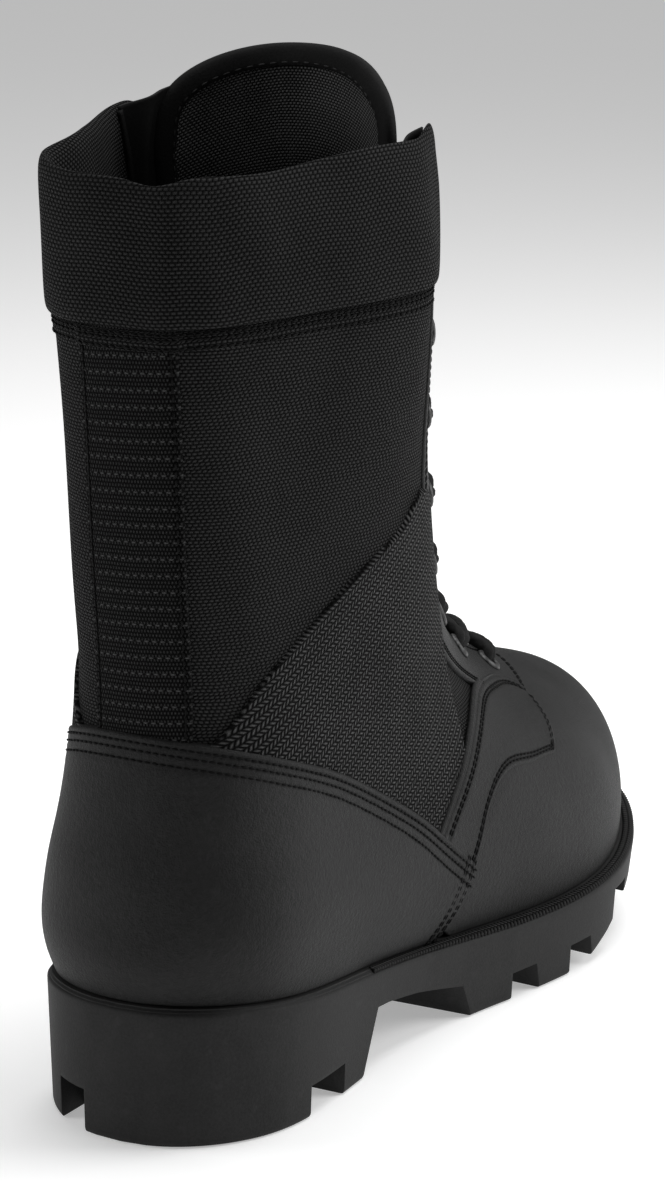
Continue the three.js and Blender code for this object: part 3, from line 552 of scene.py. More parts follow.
def backstay_finish(name, rib=4.9):
    """Narrow webbing: a bright dashed row at each rib and finer dark threads between."""
    finish = Finish(name, roughness=0.9, specular=0.08, sheen=0.01)
    u, v = finish.cloth()
    wander = finish.noise(9, detail=2)
    v = v + 0.5 * wander - 0.06 * u
    dashes = humps(u, v, (2.5, rib), size=(0.7, 0.17))
    fine = humps(u, v, (1.0, rib / 4), size=(0.75, 0.9))
    fuzz = finish.noise(0.5, detail=2)
    thread = dashes.most(0.5 * fine)
    finish.colour((thread * (0.3 + 1.2 * fuzz)).step(0, 0.9), grey(0.001), grey(0.05))
    finish.roughness(0.95 - 0.25 * thread)
    finish.bump(thread + 0.15 * fuzz, 0.5)
    return finish.material


def plain_finish(name, dark, light, grain, depth, roughness=0.8, specular=0.1):
    finish = Finish(name, roughness=roughness, specular=specular)
    fuzz = finish.noise(grain, detail=3)
    patch = finish.noise(18, detail=2)
    finish.colour((0.6 * fuzz + 0.4 * patch).step(0.2, 0.8), grey(dark), grey(light))
    finish.roughness(roughness + 0.12 * fuzz - 0.06)
    finish.bump(fuzz, depth)
    return finish.material


shaft_weave = woven_finish("shaft_weave")
cuff_weave = woven_finish("cuff_weave", cell=(1.75, 1.15), light=0.027)
lining_mesh = woven_finish("lining_mesh", cell=(1.3, 0.9), light=0.13, depth=0.5, mottle=0.7)
strap_web = strap_finish("strap_web")
backstay_web = backstay_finish("backstay_web")
binding_tape = plain_finish("binding_tape", 0.006, 0.016, 0.6, 0.12)
gusset_cloth = plain_finish("gusset_cloth", 0.013, 0.022, 0.8, 0.08, roughness=0.7)
thread = plain_finish("thread", 0.002, 0.006, 0.3, 0.05, roughness=0.7)
pale_thread = plain_finish("pale_thread", 0.02, 0.05, 0.3, 0.05, roughness=0.7)
insole_cloth = plain_finish("insole_cloth", 0.015, 0.03, 1.0, 0.2, roughness=0.9)
print("made the cloths")


# %% [markdown]
# Each finished piece gets its materials, rides on the boot's one body and hides the solids of
# the CAD model it stands for. One helper does this and prints the piece's triangles.

# %% Dressing a piece
def dress(piece, materials, node_names):
    """Gives a piece its finish and its place on the body, and hides the CAD nodes it stands for."""
    for material in materials if isinstance(materials, list) else [materials]:
        piece.data.materials.append(material)
    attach(piece, "root")
    if node_names:
        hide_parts(*node_names)
    triangles = sum(len(p.vertices) - 2 for p in piece.data.polygons)
    print(piece.name, triangles, "triangles")
    return piece


# %% [markdown]
# ## Upper
#
# The upper is one wall of cloth from the sole to the collar, open down the front where the
# tongue lies. Its columns run straight up beside the throat and close in front only below it.

# %% Upper shell
LEVEL_LINE = 60


def hanging_cloth(points, turn):
    """Cloth that hangs straight: on each side it is measured from one upright line."""
    around = travelled(points, 1)
    middle = points.shape[1] // 2
    across = np.zeros(turn.shape)
    for row in range(len(points)):
        for part, sign in ((slice(middle, None), 1), (slice(middle, None, -1), -1)):
            walked = np.abs(around[row, part] - around[row, middle])
            beside = points[row, part, 0]
            near = int(np.argmax(beside > LEVEL_LINE))
            across[row, part] = sign * (walked - walked[near] + LEVEL_LINE)
    return np.stack([across, points[..., 2], np.zeros(turn.shape)], -1)


def upper_grid(levels, side_columns, front_columns):
    """Turns and levels of the shell, with the faces that the throat leaves out."""
    edges = {side: throat_edge(side, levels)[:, None] for side in ("lateral", "medial")}
    share = np.linspace(0, 1, side_columns + 1)
    ease = np.linspace(0, 1, front_columns + 1)[1:]
    sides = {side: np.concatenate([edge * share, edge + (np.pi - edge) * ease], 1)
             for side, edge in edges.items()}
    turn = np.concatenate([-sides["medial"][:, :0:-1], sides["lateral"]], 1)
    level = np.repeat(levels[:, None], turn.shape[1], 1)
    open_rows = levels[:-1] >= THROAT_BOTTOM - 1e-6
    front = np.abs(np.arange(turn.shape[1] - 1) - (turn.shape[1] - 2) / 2) > side_columns
    return turn, level, ~(open_rows[:, None] & front[None, :])


foot_levels = np.linspace(0, THROAT_BOTTOM, 34)
shaft_levels = np.linspace(THROAT_BOTTOM, 12.9, 62)[1:]
turn, level, keep = upper_grid(np.concatenate([foot_levels, shaft_levels]), 72, 8)
outer, inner = skin(turn, level, 0.0), skin(turn, level, -UPPER_WALL)
same = np.arange(turn.size).reshape(turn.shape)
same[:, 0] = same[:, -1]
upper_piece = closed_sheet("upper_cloth", outer, inner, grid_quads(*turn.shape, keep),
                           hanging_cloth(outer, turn), same.ravel())
dress(upper_piece, shaft_weave, ["upper"])


# %% [markdown]
# ## Panels
#
# A maker cuts each panel to a paper outline and stitches it over its neighbour. A panel here
# is a sheet between two edges drawn on the side view of the boot. Its height falls away in a
# small round at each free edge, and it dips along every row of stitching.

# %% Edges and panels
def flow(points, count, dense_ends=0.0):
    """Smooth run of turns and levels through a few places, evenly spaced."""
    points = np.asarray(points, float)
    walked = travelled(last_point(points[:, 0], points[:, 1]), 0)
    t = np.linspace(0, 1, count)
    t = t - dense_ends * np.sin(2 * np.pi * t) / (2 * np.pi)
    t = t * walked[-1]
    return np.stack([through(walked, points[:, k], t) for k in (0, 1)], -1)


class Panel:
    """Sheet ruled between two edges, which are runs of turns and levels."""

    def __init__(self, edge_a, edge_b, rows):
        t = np.linspace(0, 1, rows)
        t = t - 0.75 * np.sin(2 * np.pi * t) / (2 * np.pi)
        grid = edge_a[None] + (edge_b - edge_a)[None] * t[:, None, None]
        self.turn, self.level = grid[..., 0], grid[..., 1]
        base = last_point(self.turn, self.level)
        down = travelled(base, 0)
        over = travelled(base, 1)
        self.from_edge = {"a": down, "b": down[-1:] - down, "start": over, "end": over[:, -1:] - over}

    def height(self, top, free, lip=1.5, rows=(), low=0.1):
        """Height over the last: round at the free edges, dipped at the stitch rows."""
        height = np.full(self.turn.shape, float(top))
        for edge, inset in rows:
            height -= 0.4 * np.exp(-((self.from_edge[edge] - inset) / 0.5) ** 2)
        for edge in free:
            near = np.clip(self.from_edge[edge] / lip, 0, 1)
            height = low + (height - low) * np.sqrt(np.maximum(1 - (1 - near) ** 2, 0))
        return height

    def build(self, name, height, cloth=None):
        outer = skin(self.turn, self.level, height)
        inner = skin(self.turn, self.level, 0.02)
        quads = grid_quads(*self.turn.shape)
        probe = outer[1, 1] - outer[0, 0]
        facing = np.cross(outer[0, 1] - outer[0, 0], probe) @ (outer[0, 0] - inner[0, 0])
        if facing < 0:
            quads = quads[:, ::-1]
        return closed_sheet(name, outer, inner, quads, (cloth or cloth_of)(outer))

    def line(self, edge, inset, height):
        """Path at a distance from one edge. The height may be a function of the level."""
        gap = self.from_edge[edge].T if edge in ("a", "b") else self.from_edge[edge]
        onwards = 1 if edge in ("a", "start") else -1
        steps = np.arange(gap.shape[1])[::onwards]
        along = np.arange(len(gap), dtype=float)
        across = np.array([np.interp(inset, away[::onwards], steps) for away in gap])
        place = (across, along) if edge in ("a", "b") else (along, across)
        turn, level = (read_grid(grid, *place) for grid in (self.turn, self.level))
        return skin(turn, level, height(level) if callable(height) else height)


def read_grid(grid, row, column):
    """Value between the points of a grid."""
    row = np.clip(row, 0, grid.shape[0] - 1)
    column = np.clip(column, 0, grid.shape[1] - 1)
    r = np.minimum(row.astype(int), grid.shape[0] - 2)
    c = np.minimum(column.astype(int), grid.shape[1] - 2)
    a, b = row - r, column - c
    upper_row = grid[r, c] * (1 - b) + grid[r, c + 1] * b
    lower_row = grid[r + 1, c] * (1 - b) + grid[r + 1, c + 1] * b
    return upper_row * (1 - a) + lower_row * a


COUNTER_TOP = [[.082, .312], [.139, .285], [.218, .244], [.299, .189], [.359, .144], [.403, .105],
               [.440, .071], [.475, .040]]
COUNTER_BACK_LEVEL = 7.99
COUNTER_FOOT = 0.434
VAMP_BACK = [[.412, -.02], [.425, .03], [.452, .085], [.50, .135], [.56, .165], [.62, .168],
             [.655, .215], [.685, .245]]
TAB_BACK = [[.392, .085], [.403, .105], [.437, .157], [.481, .209], [.54, .245], [.61, .24],
            [.66, .225], [.690, .205]]
TAB_FRONT = [[.468, .025], [.475, .040], [.493, .099], [.514, .127], [.539, .139], [.59, .1345],
             [.636, .130], [.655, .127]]
EYESTAY_OUTER = [[.338, .86], [.343, .70], [.356, .60], [.372, .50], [.392, .42], [.410, .373],
                 [.446, .328], [.511, .277], [.565, .242], [.612, .212], [.652, .193], [.683, .191]]
STRAP_TOP = [[.055, .298], [.069, .318], [.109, .386], [.159, .435], [.214, .481], [.277, .520],
             [.315, .542], [.350, .572], [.385, .565], [.425, .50]]
STRAP_FOOT = [[.09, .27], [.139, .255], [.218, .214], [.299, .159], [.345, .12], [.395, .08]]
stitch_rows = []


def sole_turn(x_share):
    back, front = PROFILE["back_x"][0], PROFILE["front_x"][0]
    return float(np.arccos(1 - 2 * (x_share - back) / (front - back)))


def both_ways(points):
    """The same run on both sides, from the inner front round the back to the outer front."""
    here = on_side(points, "lateral")
    there = on_side(points, "medial")[::-1]
    return np.concatenate([there, [[0, COUNTER_BACK_LEVEL]], here])


# %% [markdown]
# The counter cups the heel and runs forward to a point on each side. Three rows of stitching
# follow its top edge and hold down the webbing behind it.

# %% Counter
COUNTER_COLUMNS = 330
foot_turn = sole_turn(COUNTER_FOOT)
counter_foot = np.linspace(-foot_turn, foot_turn, COUNTER_COLUMNS)
counter = Panel(flow(both_ways(COUNTER_TOP), COUNTER_COLUMNS, 0.3),
                np.stack([counter_foot, 0 * counter_foot], -1), 60)
counter_rows = [("a", 2.6), ("a", 4.9), ("a", 7.9)]
counter_height = counter.height(2.3, ("a", "start", "end"), rows=counter_rows)
counter_height -= 0.5 * np.clip(1 - counter.level / 1.2, 0, 1)
dress(counter.build("counter_leather", counter_height), leather, ["counter"])
stitch_rows += [counter.line(edge, inset, 2.22) for edge, inset in counter_rows]
stitch_rows += [counter.line(end, inset, 2.1)[6:-2] for end in ("start", "end")
                for inset in (1.4, 2.7, 5.6, 6.9)]

# %% [markdown]
# The vamp covers the front of the foot in one smooth dome with no toe cap. Its back edge is
# tucked under the counter, the tab and the eyestay, so it is drawn a little behind them.

# %% Vamp
def front_run(points, count):
    """The same run on both sides, over the front of the foot. Medial turns count past half a circle."""
    here = on_side(points, "lateral")
    there = here[::-1].copy()
    there[:, 0] = 2 * np.pi - there[:, 0]
    return flow(np.concatenate([here, there]), count)


VAMP_COLUMNS = 260
vamp_edge = front_run(VAMP_BACK, VAMP_COLUMNS)
toe_turns = np.linspace(vamp_edge[0, 0], vamp_edge[-1, 0], VAMP_COLUMNS)
toe_turns = toe_turns + 0.28 * np.sin(2 * (toe_turns - np.pi)) * np.abs(np.sin(toe_turns - np.pi))
vamp = Panel(vamp_edge, np.stack([toe_turns, 0 * toe_turns], -1), 110)
vamp_height = vamp.height(1.55, ())
vamp_height -= 0.55 * np.clip(1 - vamp.from_edge["a"] / 9, 0, 1)
dress(vamp.build("vamp_leather", vamp_height), leather, ["vamp"])

# %% [markdown]
# The tab is a short strap of leather that joins the ankle to the vamp. One row and a close pair
# follow its back edge, another pair its front edge, and a rolled cord finishes the back. The
# eyestay carries the lace holes and the strap of coarse webbing braces the ankle.

# %% Tabs, eyestays and ankle straps
STAY_LEATHER = 1.9
STAY_THINS = np.array([[5.5, 1], [6.8, 0.8], [8, 0.5], [12, 0.45]]).T
WEB_TURN = radians(30)
SIDES = (("lateral", 1), ("medial", -1))


def stay_top(level):
    """Height of the threads on the eyestay, which is thinner higher up."""
    return STAY_LEATHER * np.interp(level, *STAY_THINS) - 0.12


def web_cloth(points):
    """Straight webbing seen from the side, turned so that its ridges run up and forward."""
    x, z = points[..., 0], points[..., 2]
    along, over = x * cos(WEB_TURN) + z * sin(WEB_TURN), z * cos(WEB_TURN) - x * sin(WEB_TURN)
    return np.stack([along, over, np.zeros_like(x)], -1)


def back_cloth(points):
    """Webbing seen from behind."""
    return np.stack([-points[..., 1], points[..., 2], np.zeros_like(points[..., 0])], -1)


tabs = {}
for side, sign in SIDES:
    tab = Panel(flow(on_side(TAB_BACK, side), 150), flow(on_side(TAB_FRONT, side), 150), 56)
    tab_rows = [("a", 1.9), ("a", 4.8), ("a", 6.1), ("b", 2.5), ("b", 3.8)]
    tab_height = tab.height(2.15, ("a", "b", "end"), rows=tab_rows, low=0.4)
    dress(tab.build(f"tab_{side}_leather", tab_height), leather, [f"tab_{side}"])
    stitch_rows += [tab.line("a", inset, 2.05)[10:-8] for inset in (4.8, 6.1)]
    stitch_rows += [tab.line("b", inset, 2.05)[8:-5] for inset in (2.5, 3.8)]
    stitch_rows += [tab.line("end", inset, 2.05)[22:-9] for inset in (2.2, 3.4)]
    tabs[side] = tab

    levels = np.linspace(12.1, THROAT_BOTTOM, 150)
    edge = throat_edge(side, levels)
    stay = Panel(flow(on_side(EYESTAY_OUTER, side), 150), np.stack([sign * edge, levels], -1), 44)
    stay_rows = [("a", 2.4), ("a", 3.8), ("b", 2.0), ("end", 2.2), ("end", 3.5)]
    stay_height = stay.height(STAY_LEATHER, ("a", "b", "end"), rows=stay_rows, low=0.3)
    stay_height = stay_height * np.interp(stay.level, *STAY_THINS)
    dress(stay.build(f"eyestay_{side}_leather", stay_height), leather, [f"eyestay_{side}"])
    stitch_rows += [stay.line("a", inset, stay_top)[12:-9] for inset in (2.4, 3.8)]
    stitch_rows += [stay.line("b", 2.0, stay_top)[12:-10]]
    stitch_rows += [stay.line("end", inset, stay_top)[6:-6] for inset in (2.2, 3.5)]

    strap = Panel(flow(on_side(STRAP_TOP, side), 130), flow(on_side(STRAP_FOOT, side), 130), 60)
    strap_height = strap.height(1.35, ("a", "end"), lip=0.7)
    dress(strap.build(f"strap_{side}_webbing", strap_height, web_cloth), strap_web,
          [f"strap_{side}"])

# %% [markdown]
# The backstay is a band of ribbed webbing down the middle of the back. Its edges stay
# a fixed distance apart, so its turns are found from its half width at each level.

# %% Backstay
BACKSTAY_HALF = 15.5


def turn_at_width(level, half, side):
    low, high = np.zeros(np.shape(level)), np.full(np.shape(level), np.pi / 2)
    sign = 1 if side == "lateral" else -1
    for _ in range(40):
        middle = (low + high) / 2
        wide = np.abs(last_point(sign * middle, level)[..., 1]) > half
        high, low = np.where(wide, middle, high), np.where(wide, low, middle)
    return sign * (low + high) / 2


stay_levels = np.linspace(7.75, 12.05, 150)
backstay = Panel(np.stack([turn_at_width(stay_levels, BACKSTAY_HALF, "medial"), stay_levels], -1),
                 np.stack([turn_at_width(stay_levels, BACKSTAY_HALF, "lateral"), stay_levels], -1), 40)
backstay_height = backstay.height(1.15, ("a", "b"), lip=0.8, rows=[("a", 1.9), ("b", 1.9)])
backstay_piece = backstay.build("backstay_webbing", backstay_height, back_cloth)
dress(backstay_piece, backstay_web, ["backstay"])
stitch_rows += [backstay.line(edge, 1.9, 1.1)[4:] for edge in ("a", "b")]

# %% [markdown]
# ## Collar
#
# The collar is foam wrapped in the shaft's cloth: it swells out over its seam, rolls over the
# top and comes down inside. Its section is a short run of levels and heights, swept round from
# one edge of the throat to the other.

# %% Padded collar
CUFF_OUT = [[12.0, 0.0], [11.985, 0.9], [12.01, 1.9], [12.09, 2.4], [12.3, 2.35], [12.62, 1.7],
            [12.86, 0.8], [12.97, 0.0], [13.02, -1.3], [12.98, -2.7], [12.85, -3.7], [12.5, -4.0],
            [12.15, -3.9], [11.9, -3.3], [11.86, -2.4]]
CUFF_IN = [[12.0, 0.05], [12.02, 0.2], [12.08, 0.4], [12.22, 0.7], [12.5, 0.7], [12.75, 0.4],
           [12.86, 0.1], [12.9, -0.4], [12.92, -1.4], [12.9, -2.3], [12.8, -2.8], [12.5, -2.9],
           [12.15, -2.8], [11.95, -2.5], [11.9, -2.2]]


def swept(section, around):
    """Section of levels and heights carried round between the edges of the throat."""
    section = np.asarray(section, float)
    t = np.arange(len(section))
    fine = np.linspace(0, len(section) - 1, 70)
    level = through(t, section[:, 0], fine)[:, None]
    height = through(t, section[:, 1], fine)[:, None]
    edge_out, edge_in = throat_edge("lateral", level), throat_edge("medial", level)
    turn = np.where(around >= 0, around * edge_out, around * edge_in)
    return turn, np.repeat(level, len(around), 1), np.repeat(height, len(around), 1)


around = np.linspace(-1, 1, 300)
turn, level, height = swept(CUFF_OUT, around)
puff = 0.3 * np.sin(7.3 * turn + 1.1) * np.sin(2.9 * level) + 0.2 * np.sin(13.7 * turn + 3.1 * level)
outer = skin(turn, level, height + puff * np.clip((height - 0.8) / 0.8, 0, 1))
turn, level, height = swept(CUFF_IN, around)
inner = skin(turn, level, height)
cuff = closed_sheet("cuff_padding", outer, inner, grid_quads(*turn.shape), cloth_of(outer, 150))
dress(cuff, cuff_weave, ["cuff"])

# %% [markdown]
# The cloth of the shaft is turned over once below the collar. The turned hem is a strip six
# millimetres high that also runs over the top of the backstay, with rows of close stitches.

# %% Hem below the collar
HEM = (11.975, 11.82)
HEM_ROWS = (1.0, 2.3, 4.9)
hem_turns = np.linspace(-throat_edge("medial", 11.9), throat_edge("lateral", 11.9), 300)
hem_edges = [np.stack([hem_turns, np.full(len(hem_turns), level)], -1) for level in HEM]
hem = Panel(*hem_edges, 30)
over_backstay = np.clip((17.2 - np.abs(last_point(hem.turn, hem.level)[..., 1])) / 1.7, 0, 1)
hem_rise = 1.15 * over_backstay * over_backstay * (3 - 2 * over_backstay)
hem_height = hem.height(0.6, ("a", "b"), lip=0.8, rows=[("a", inset) for inset in HEM_ROWS])
dress(hem.build("collar_hem", hem_height + hem_rise), shaft_weave, [])
stitch_rows += [hem.line("a", inset, 0.56 + hem_rise[0]) for inset in HEM_ROWS]

# %% [markdown]
# ## Tongue
#
# The tongue lies under the laces along the instep and then stands free above the collar in
# a wide round arch. It is a quilted sheet lined with open mesh, with a flat tape bound over its
# edge. Below the collar it follows the last, and above it a free curve takes over.

# %% Tongue
TONGUE = 3.0
TONGUE_WIDTH = 82
TONGUE_RISE = 19
TONGUE_SETBACK = 14
TONGUE_SAG = 22
TONGUE_DEEP = UPPER_WALL + 1.2 + TONGUE / 2
TONGUE_ROWS = {
    "level": [4.75, 5.5, 6.5, 7.5, 8.5, 9.5, 10.5, 11.3, 12, 13],
    "spread": [13, 19, 25, 29, 33, 37, 41, 43, 44, 44],
    "free": [0, 0, 0, 0, 0, 0, .15, .5, .85, 1],
    "width": [.3, .35, .4, .5, .6, .7, .8, .9, .97, .98],
    "rise": [0, 0, 0, 0, 0, 0, 0, 0, 0, -.9],
}
ARCH_FROM = len(TONGUE_ROWS["level"]) - 1
ARCH_ROWS = 5
ARCH_BASE = 285.5
ARCH_RISE = 24.3
ARCH_REACH = 0.97
ARCH_POWER = 2 / 2.3
TONGUE_CROWN = 0.25


def arch(angle):
    """Reach and height on the rounded end, from the outer side at 0 to the inner side at pi."""
    c, s = np.cos(angle), np.sin(angle)
    return np.stack([ARCH_REACH * np.sign(c) * np.abs(c) ** ARCH_POWER,
                     ARCH_BASE + ARCH_RISE * np.abs(s) ** ARCH_POWER], -1)


def free_end(u, s, start):
    """Reach and height over the free end: u across, s from its first row to the top of the arch."""
    corner = np.pi / 4
    straight = 0.25

    def side(sign, s):
        foot = np.array([sign * TONGUE_ROWS["width"][-1], start(1.0)])
        rising = arch(corner * np.clip((s - straight) / (1 - straight), 0, 1)) * [sign, 1]
        low = foot + (arch(np.array(0.0)) * [sign, 1] - foot) * np.clip(s / straight, 0, 1)[..., None]
        return np.where((s < straight)[..., None], low, rising)
    bottom = np.stack([u * TONGUE_ROWS["width"][-1], start(u)], -1)
    top = arch(np.pi / 2 - corner * u)
    a, b, s1 = (1 - u)[..., None] / 2, (1 + u)[..., None] / 2, s[..., None]
    one = np.ones_like(s)
    corners = ((1 - s1) * (a * side(-1, 0 * one) + b * side(1, 0 * one))
               + s1 * (a * side(-1, one) + b * side(1, one)))
    return (1 - s1) * bottom + s1 * top + a * side(-1, s) + b * side(1, s) - corners


def tongue_point(u, v):
    """Middle of the tongue: u from -1 on the inner edge to 1 on the outer, v counts its rows."""
    u, v = np.broadcast_arrays(np.asarray(u, float), np.asarray(v, float))
    rows = np.arange(len(TONGUE_ROWS["level"]))
    level, spread, free, width, rise = (np.interp(v, rows, TONGUE_ROWS[key])
                                        for key in ("level", "spread", "free", "width", "rise"))
    turn = np.pi - np.radians(spread) * u
    laid = last_point(turn, level) - last_normal(turn, level) * TONGUE_DEEP
    front = last_point(np.full(level.shape, np.pi), level)
    top_z = SOLE_HEIGHT + SHAFT_RISE * PROFILE["front_z"][-1]

    def start(u):
        return top_z + TONGUE_ROWS["rise"][-1] * TONGUE_RISE * (1 - TONGUE_CROWN * u * u)
    reach = u * width
    z = front[..., 2] + rise * TONGUE_RISE * (1 - TONGUE_CROWN * u * u)
    rounded = free_end(u, np.clip((v - ARCH_FROM) / ARCH_ROWS, 0, 1), start)
    reach = np.where(v > ARCH_FROM, rounded[..., 0], reach)
    z = np.where(v > ARCH_FROM, rounded[..., 1], z)
    x = front[..., 0] - TONGUE_SETBACK - TONGUE_SAG * reach ** 2
    stands = np.stack([x, -reach * TONGUE_WIDTH / 2, z], -1)
    return laid + (stands - laid) * free[..., None]


def sheet_normals(points):
    du = np.gradient(points, axis=1)
    dv = np.gradient(points, axis=0)
    normal = np.cross(du, dv)
    return normal / np.maximum(np.linalg.norm(normal, axis=-1, keepdims=True), 1e-9)


def smoothed(points, times):
    for _ in range(times):
        points[1:-1, 1:-1] = (points[1:-1, 1:-1] * 2 + points[:-2, 1:-1] + points[2:, 1:-1]
                              + points[1:-1, :-2] + points[1:-1, 2:]) / 6
    return points


u = np.sin(np.linspace(-np.pi / 2, np.pi / 2, 61))[None, :]
v = np.linspace(0, ARCH_FROM + ARCH_ROWS, 171)[:, None]
middle = smoothed(tongue_point(u, v), 4)
normal = sheet_normals(middle)
rim = np.minimum.reduce([travelled(middle, 1), travelled(middle, 1)[:, -1:] - travelled(middle, 1),
                         travelled(middle, 0)[-1:] - travelled(middle, 0) + 0 * middle[..., 0]])
plump = (TONGUE / 2 * np.sqrt(np.clip(rim / 7, 0, 1) * (2 - np.clip(rim / 7, 0, 1))))[..., None] + 0.35
tongue = closed_sheet("tongue_padding", middle + normal * plump, middle - normal * plump,
                      grid_quads(*middle.shape[:2]), cloth_of(middle, 30))
dress(tongue, lining_mesh, ["tongue"])


# %% [markdown]
# Tapes, cords and laces are tubes along a path. A tube may be flattened, and it keeps its own
# millimetres along and around, as the sheets do.

# %% Tapes and cords
def tube(path, radius, sides=10, flat=1.0, facing=None):
    """Round or flattened cord along a path: points, faces and cloth coordinates."""
    path = np.asarray(path, float)
    tangent = np.gradient(path, axis=0)
    tangent /= np.linalg.norm(tangent, axis=1, keepdims=True)
    up_way = np.tile([0.0, 0.0, 1.0], (len(path), 1)) if facing is None else np.asarray(facing, float)
    sideways = np.cross(tangent, up_way)
    sideways /= np.maximum(np.linalg.norm(sideways, axis=1, keepdims=True), 1e-6)
    over = np.cross(sideways, tangent)
    angle = np.linspace(0, 2 * np.pi, sides, endpoint=False)
    ring = (np.cos(angle)[None, :, None] * sideways[:, None] * radius
            + np.sin(angle)[None, :, None] * over[:, None] * radius * flat)
    points = (path[:, None] + ring).reshape(-1, 3)
    index = np.arange(len(points)).reshape(len(path), sides)
    nxt = np.roll(index, -1, axis=1)
    faces = np.stack([index[:-1], nxt[:-1], nxt[1:], index[1:]], -1).reshape(-1, 4).tolist()
    ends = [index[0][::-1].tolist(), index[-1].tolist()]
    walked = travelled(path, 0)
    cloth = np.stack([np.broadcast_to(angle[None] * radius, index.shape),
                      np.broadcast_to(walked[:, None], index.shape), np.zeros(index.shape)], -1)
    return points, faces + ends, cloth.reshape(-1, 3)


def joined(parts):
    """Several bodies as one set of points, faces and cloth coordinates."""
    points, faces, cloth, start = [], [], [], 0
    for part_points, part_faces, part_cloth in parts:
        points.append(part_points)
        cloth.append(part_cloth)
        faces += [[i + start for i in face] for face in part_faces]
        start += len(part_points)
    return np.concatenate(points), faces, np.concatenate(cloth)


def resampled(path, count):
    path = np.asarray(path, float)
    walked = travelled(path, 0)
    t = np.linspace(0, walked[-1], count)
    return np.stack([np.interp(t, walked, path[:, k]) for k in range(3)], -1)


# %% [markdown]
# A flat tape is folded over the rim of the tongue and sewn through with one row of pale thread.
# Its section is drawn once, in millimetres inwards from the rim and away from the sheet.

# %% Tongue binding
TAPE = [[6.2, 1.5], [6.1, 2.15], [4.5, 2.3], [2.0, 2.25], [0.6, 1.9], [-0.4, 1.1], [-0.7, 0],
        [-0.4, -1.1], [0.6, -1.9], [2.0, -2.25], [4.5, -2.3], [6.1, -2.15], [6.2, -1.5]]
TAPE_SEAM = 5.2
TAPE_FROM = 70
TAPE_STEPS = 340
HALFWAY = TAPE_STEPS // 2
INSIDE = (100, 30)


def round_rim(grid):
    return np.concatenate([grid[TAPE_FROM:, 0], grid[-1, 1:-1], grid[TAPE_FROM:, -1][::-1]])


def eased_path(path, times):
    for _ in range(times):
        path[1:-1] = (path[:-2] + 2 * path[1:-1] + path[2:]) / 4
    return path


edge_walk = travelled(round_rim(middle), 0)
even = np.linspace(0, edge_walk[-1], TAPE_STEPS)
edge_path, edge_normal = (
    eased_path(np.stack([np.interp(even, edge_walk, round_rim(grid)[:, k]) for k in range(3)], -1), 30)
    for grid in (middle, normal))
edge_normal /= np.linalg.norm(edge_normal, axis=1, keepdims=True)
inward = np.cross(edge_normal, np.gradient(edge_path, axis=0))
inward /= np.linalg.norm(inward, axis=1, keepdims=True)
inward = inward * np.sign(np.sum(inward[HALFWAY] * (middle[INSIDE] - edge_path[HALFWAY])))
tape_section = np.array(TAPE)
tape_points = (edge_path[:, None] + inward[:, None] * tape_section[None, :, :1]
               + edge_normal[:, None] * tape_section[None, :, 1:])
sides = len(TAPE)
index = np.arange(tape_points.shape[0] * sides).reshape(-1, sides)
onward = np.roll(index, -1, axis=1)
tape_faces = np.stack([index[:-1], onward[:-1], onward[1:], index[1:]], -1).reshape(-1, 4)
here, beyond = tape_points[HALFWAY], tape_points[HALFWAY + 1]
way = np.cross(here[1] - here[0], beyond[0] - here[0]) @ (here[0] - here.mean(0))
tape_faces = tape_faces if way > 0 else tape_faces[:, ::-1]
ends = [index[0].tolist(), index[-1][::-1].tolist()]
if way > 0:
    ends = [end[::-1] for end in ends]
binding = add_mesh("tongue_binding", tape_points.reshape(-1, 3), tape_faces.tolist() + ends)
dress(binding, binding_tape, [])
tape_rows = [edge_path + inward * TAPE_SEAM + edge_normal * lift for lift in (2.3, -2.3)]

# %% [markdown]
# A rolled cord finishes the back edge of each tab. It is a thin tube along a line that the panel
# already knows.

# %% Rolled edges
rolls = []
for side in ("lateral", "medial"):
    rolls.append(tube(tabs[side].line("a", 0.2, 1.2)[6:100], 1.0, sides=10))
piping = add_mesh("rolled_edges", *joined(rolls))
dress(piping, leather, [])

# %% [markdown]
# ## Stitching
#
# A sewing machine sets its stitches at one pitch along a row, so a Geometry Nodes tree can
# do the same: it takes the rows as loose curves, resamples them at the pitch and sets one short
# thread at each point along the direction of the row.

# %% Stitch tree
def add_rows(name, rows):
    """Loose polylines as a mesh of edges."""
    points, edges, start = [], [], 0
    for row in rows:
        points.append(row)
        edges += [(start + i, start + i + 1) for i in range(len(row) - 1)]
        start += len(row)
    mesh = bpy.data.meshes.new(name)
    mesh.from_pydata(((np.concatenate(points) + ORIGIN) * MM).tolist(), edges, [])
    return linked(name, mesh)


def new_tree(name, inputs):
    """Geometry tree with one mesh in, one mesh out and named number inputs."""
    tree = bpy.data.node_groups.new(name, "GeometryNodeTree")
    tree.interface.new_socket("Geometry", in_out="INPUT", socket_type="NodeSocketGeometry")
    tree.interface.new_socket("Geometry", in_out="OUTPUT", socket_type="NodeSocketGeometry")
    for key, value in inputs.items():
        socket = tree.interface.new_socket(key, in_out="INPUT", socket_type="NodeSocketFloat")
        socket.default_value = value
    return tree


def plug(tree, kind, values=None, **settings):
    made = tree.nodes.new(kind)
    for key, value in settings.items():
        setattr(made, key, value)
    for key, value in (values or {}).items():
        if isinstance(value, bpy.types.NodeSocket):
            tree.links.new(value, made.inputs[key])
        else:
            made.inputs[key].default_value = value
    return made


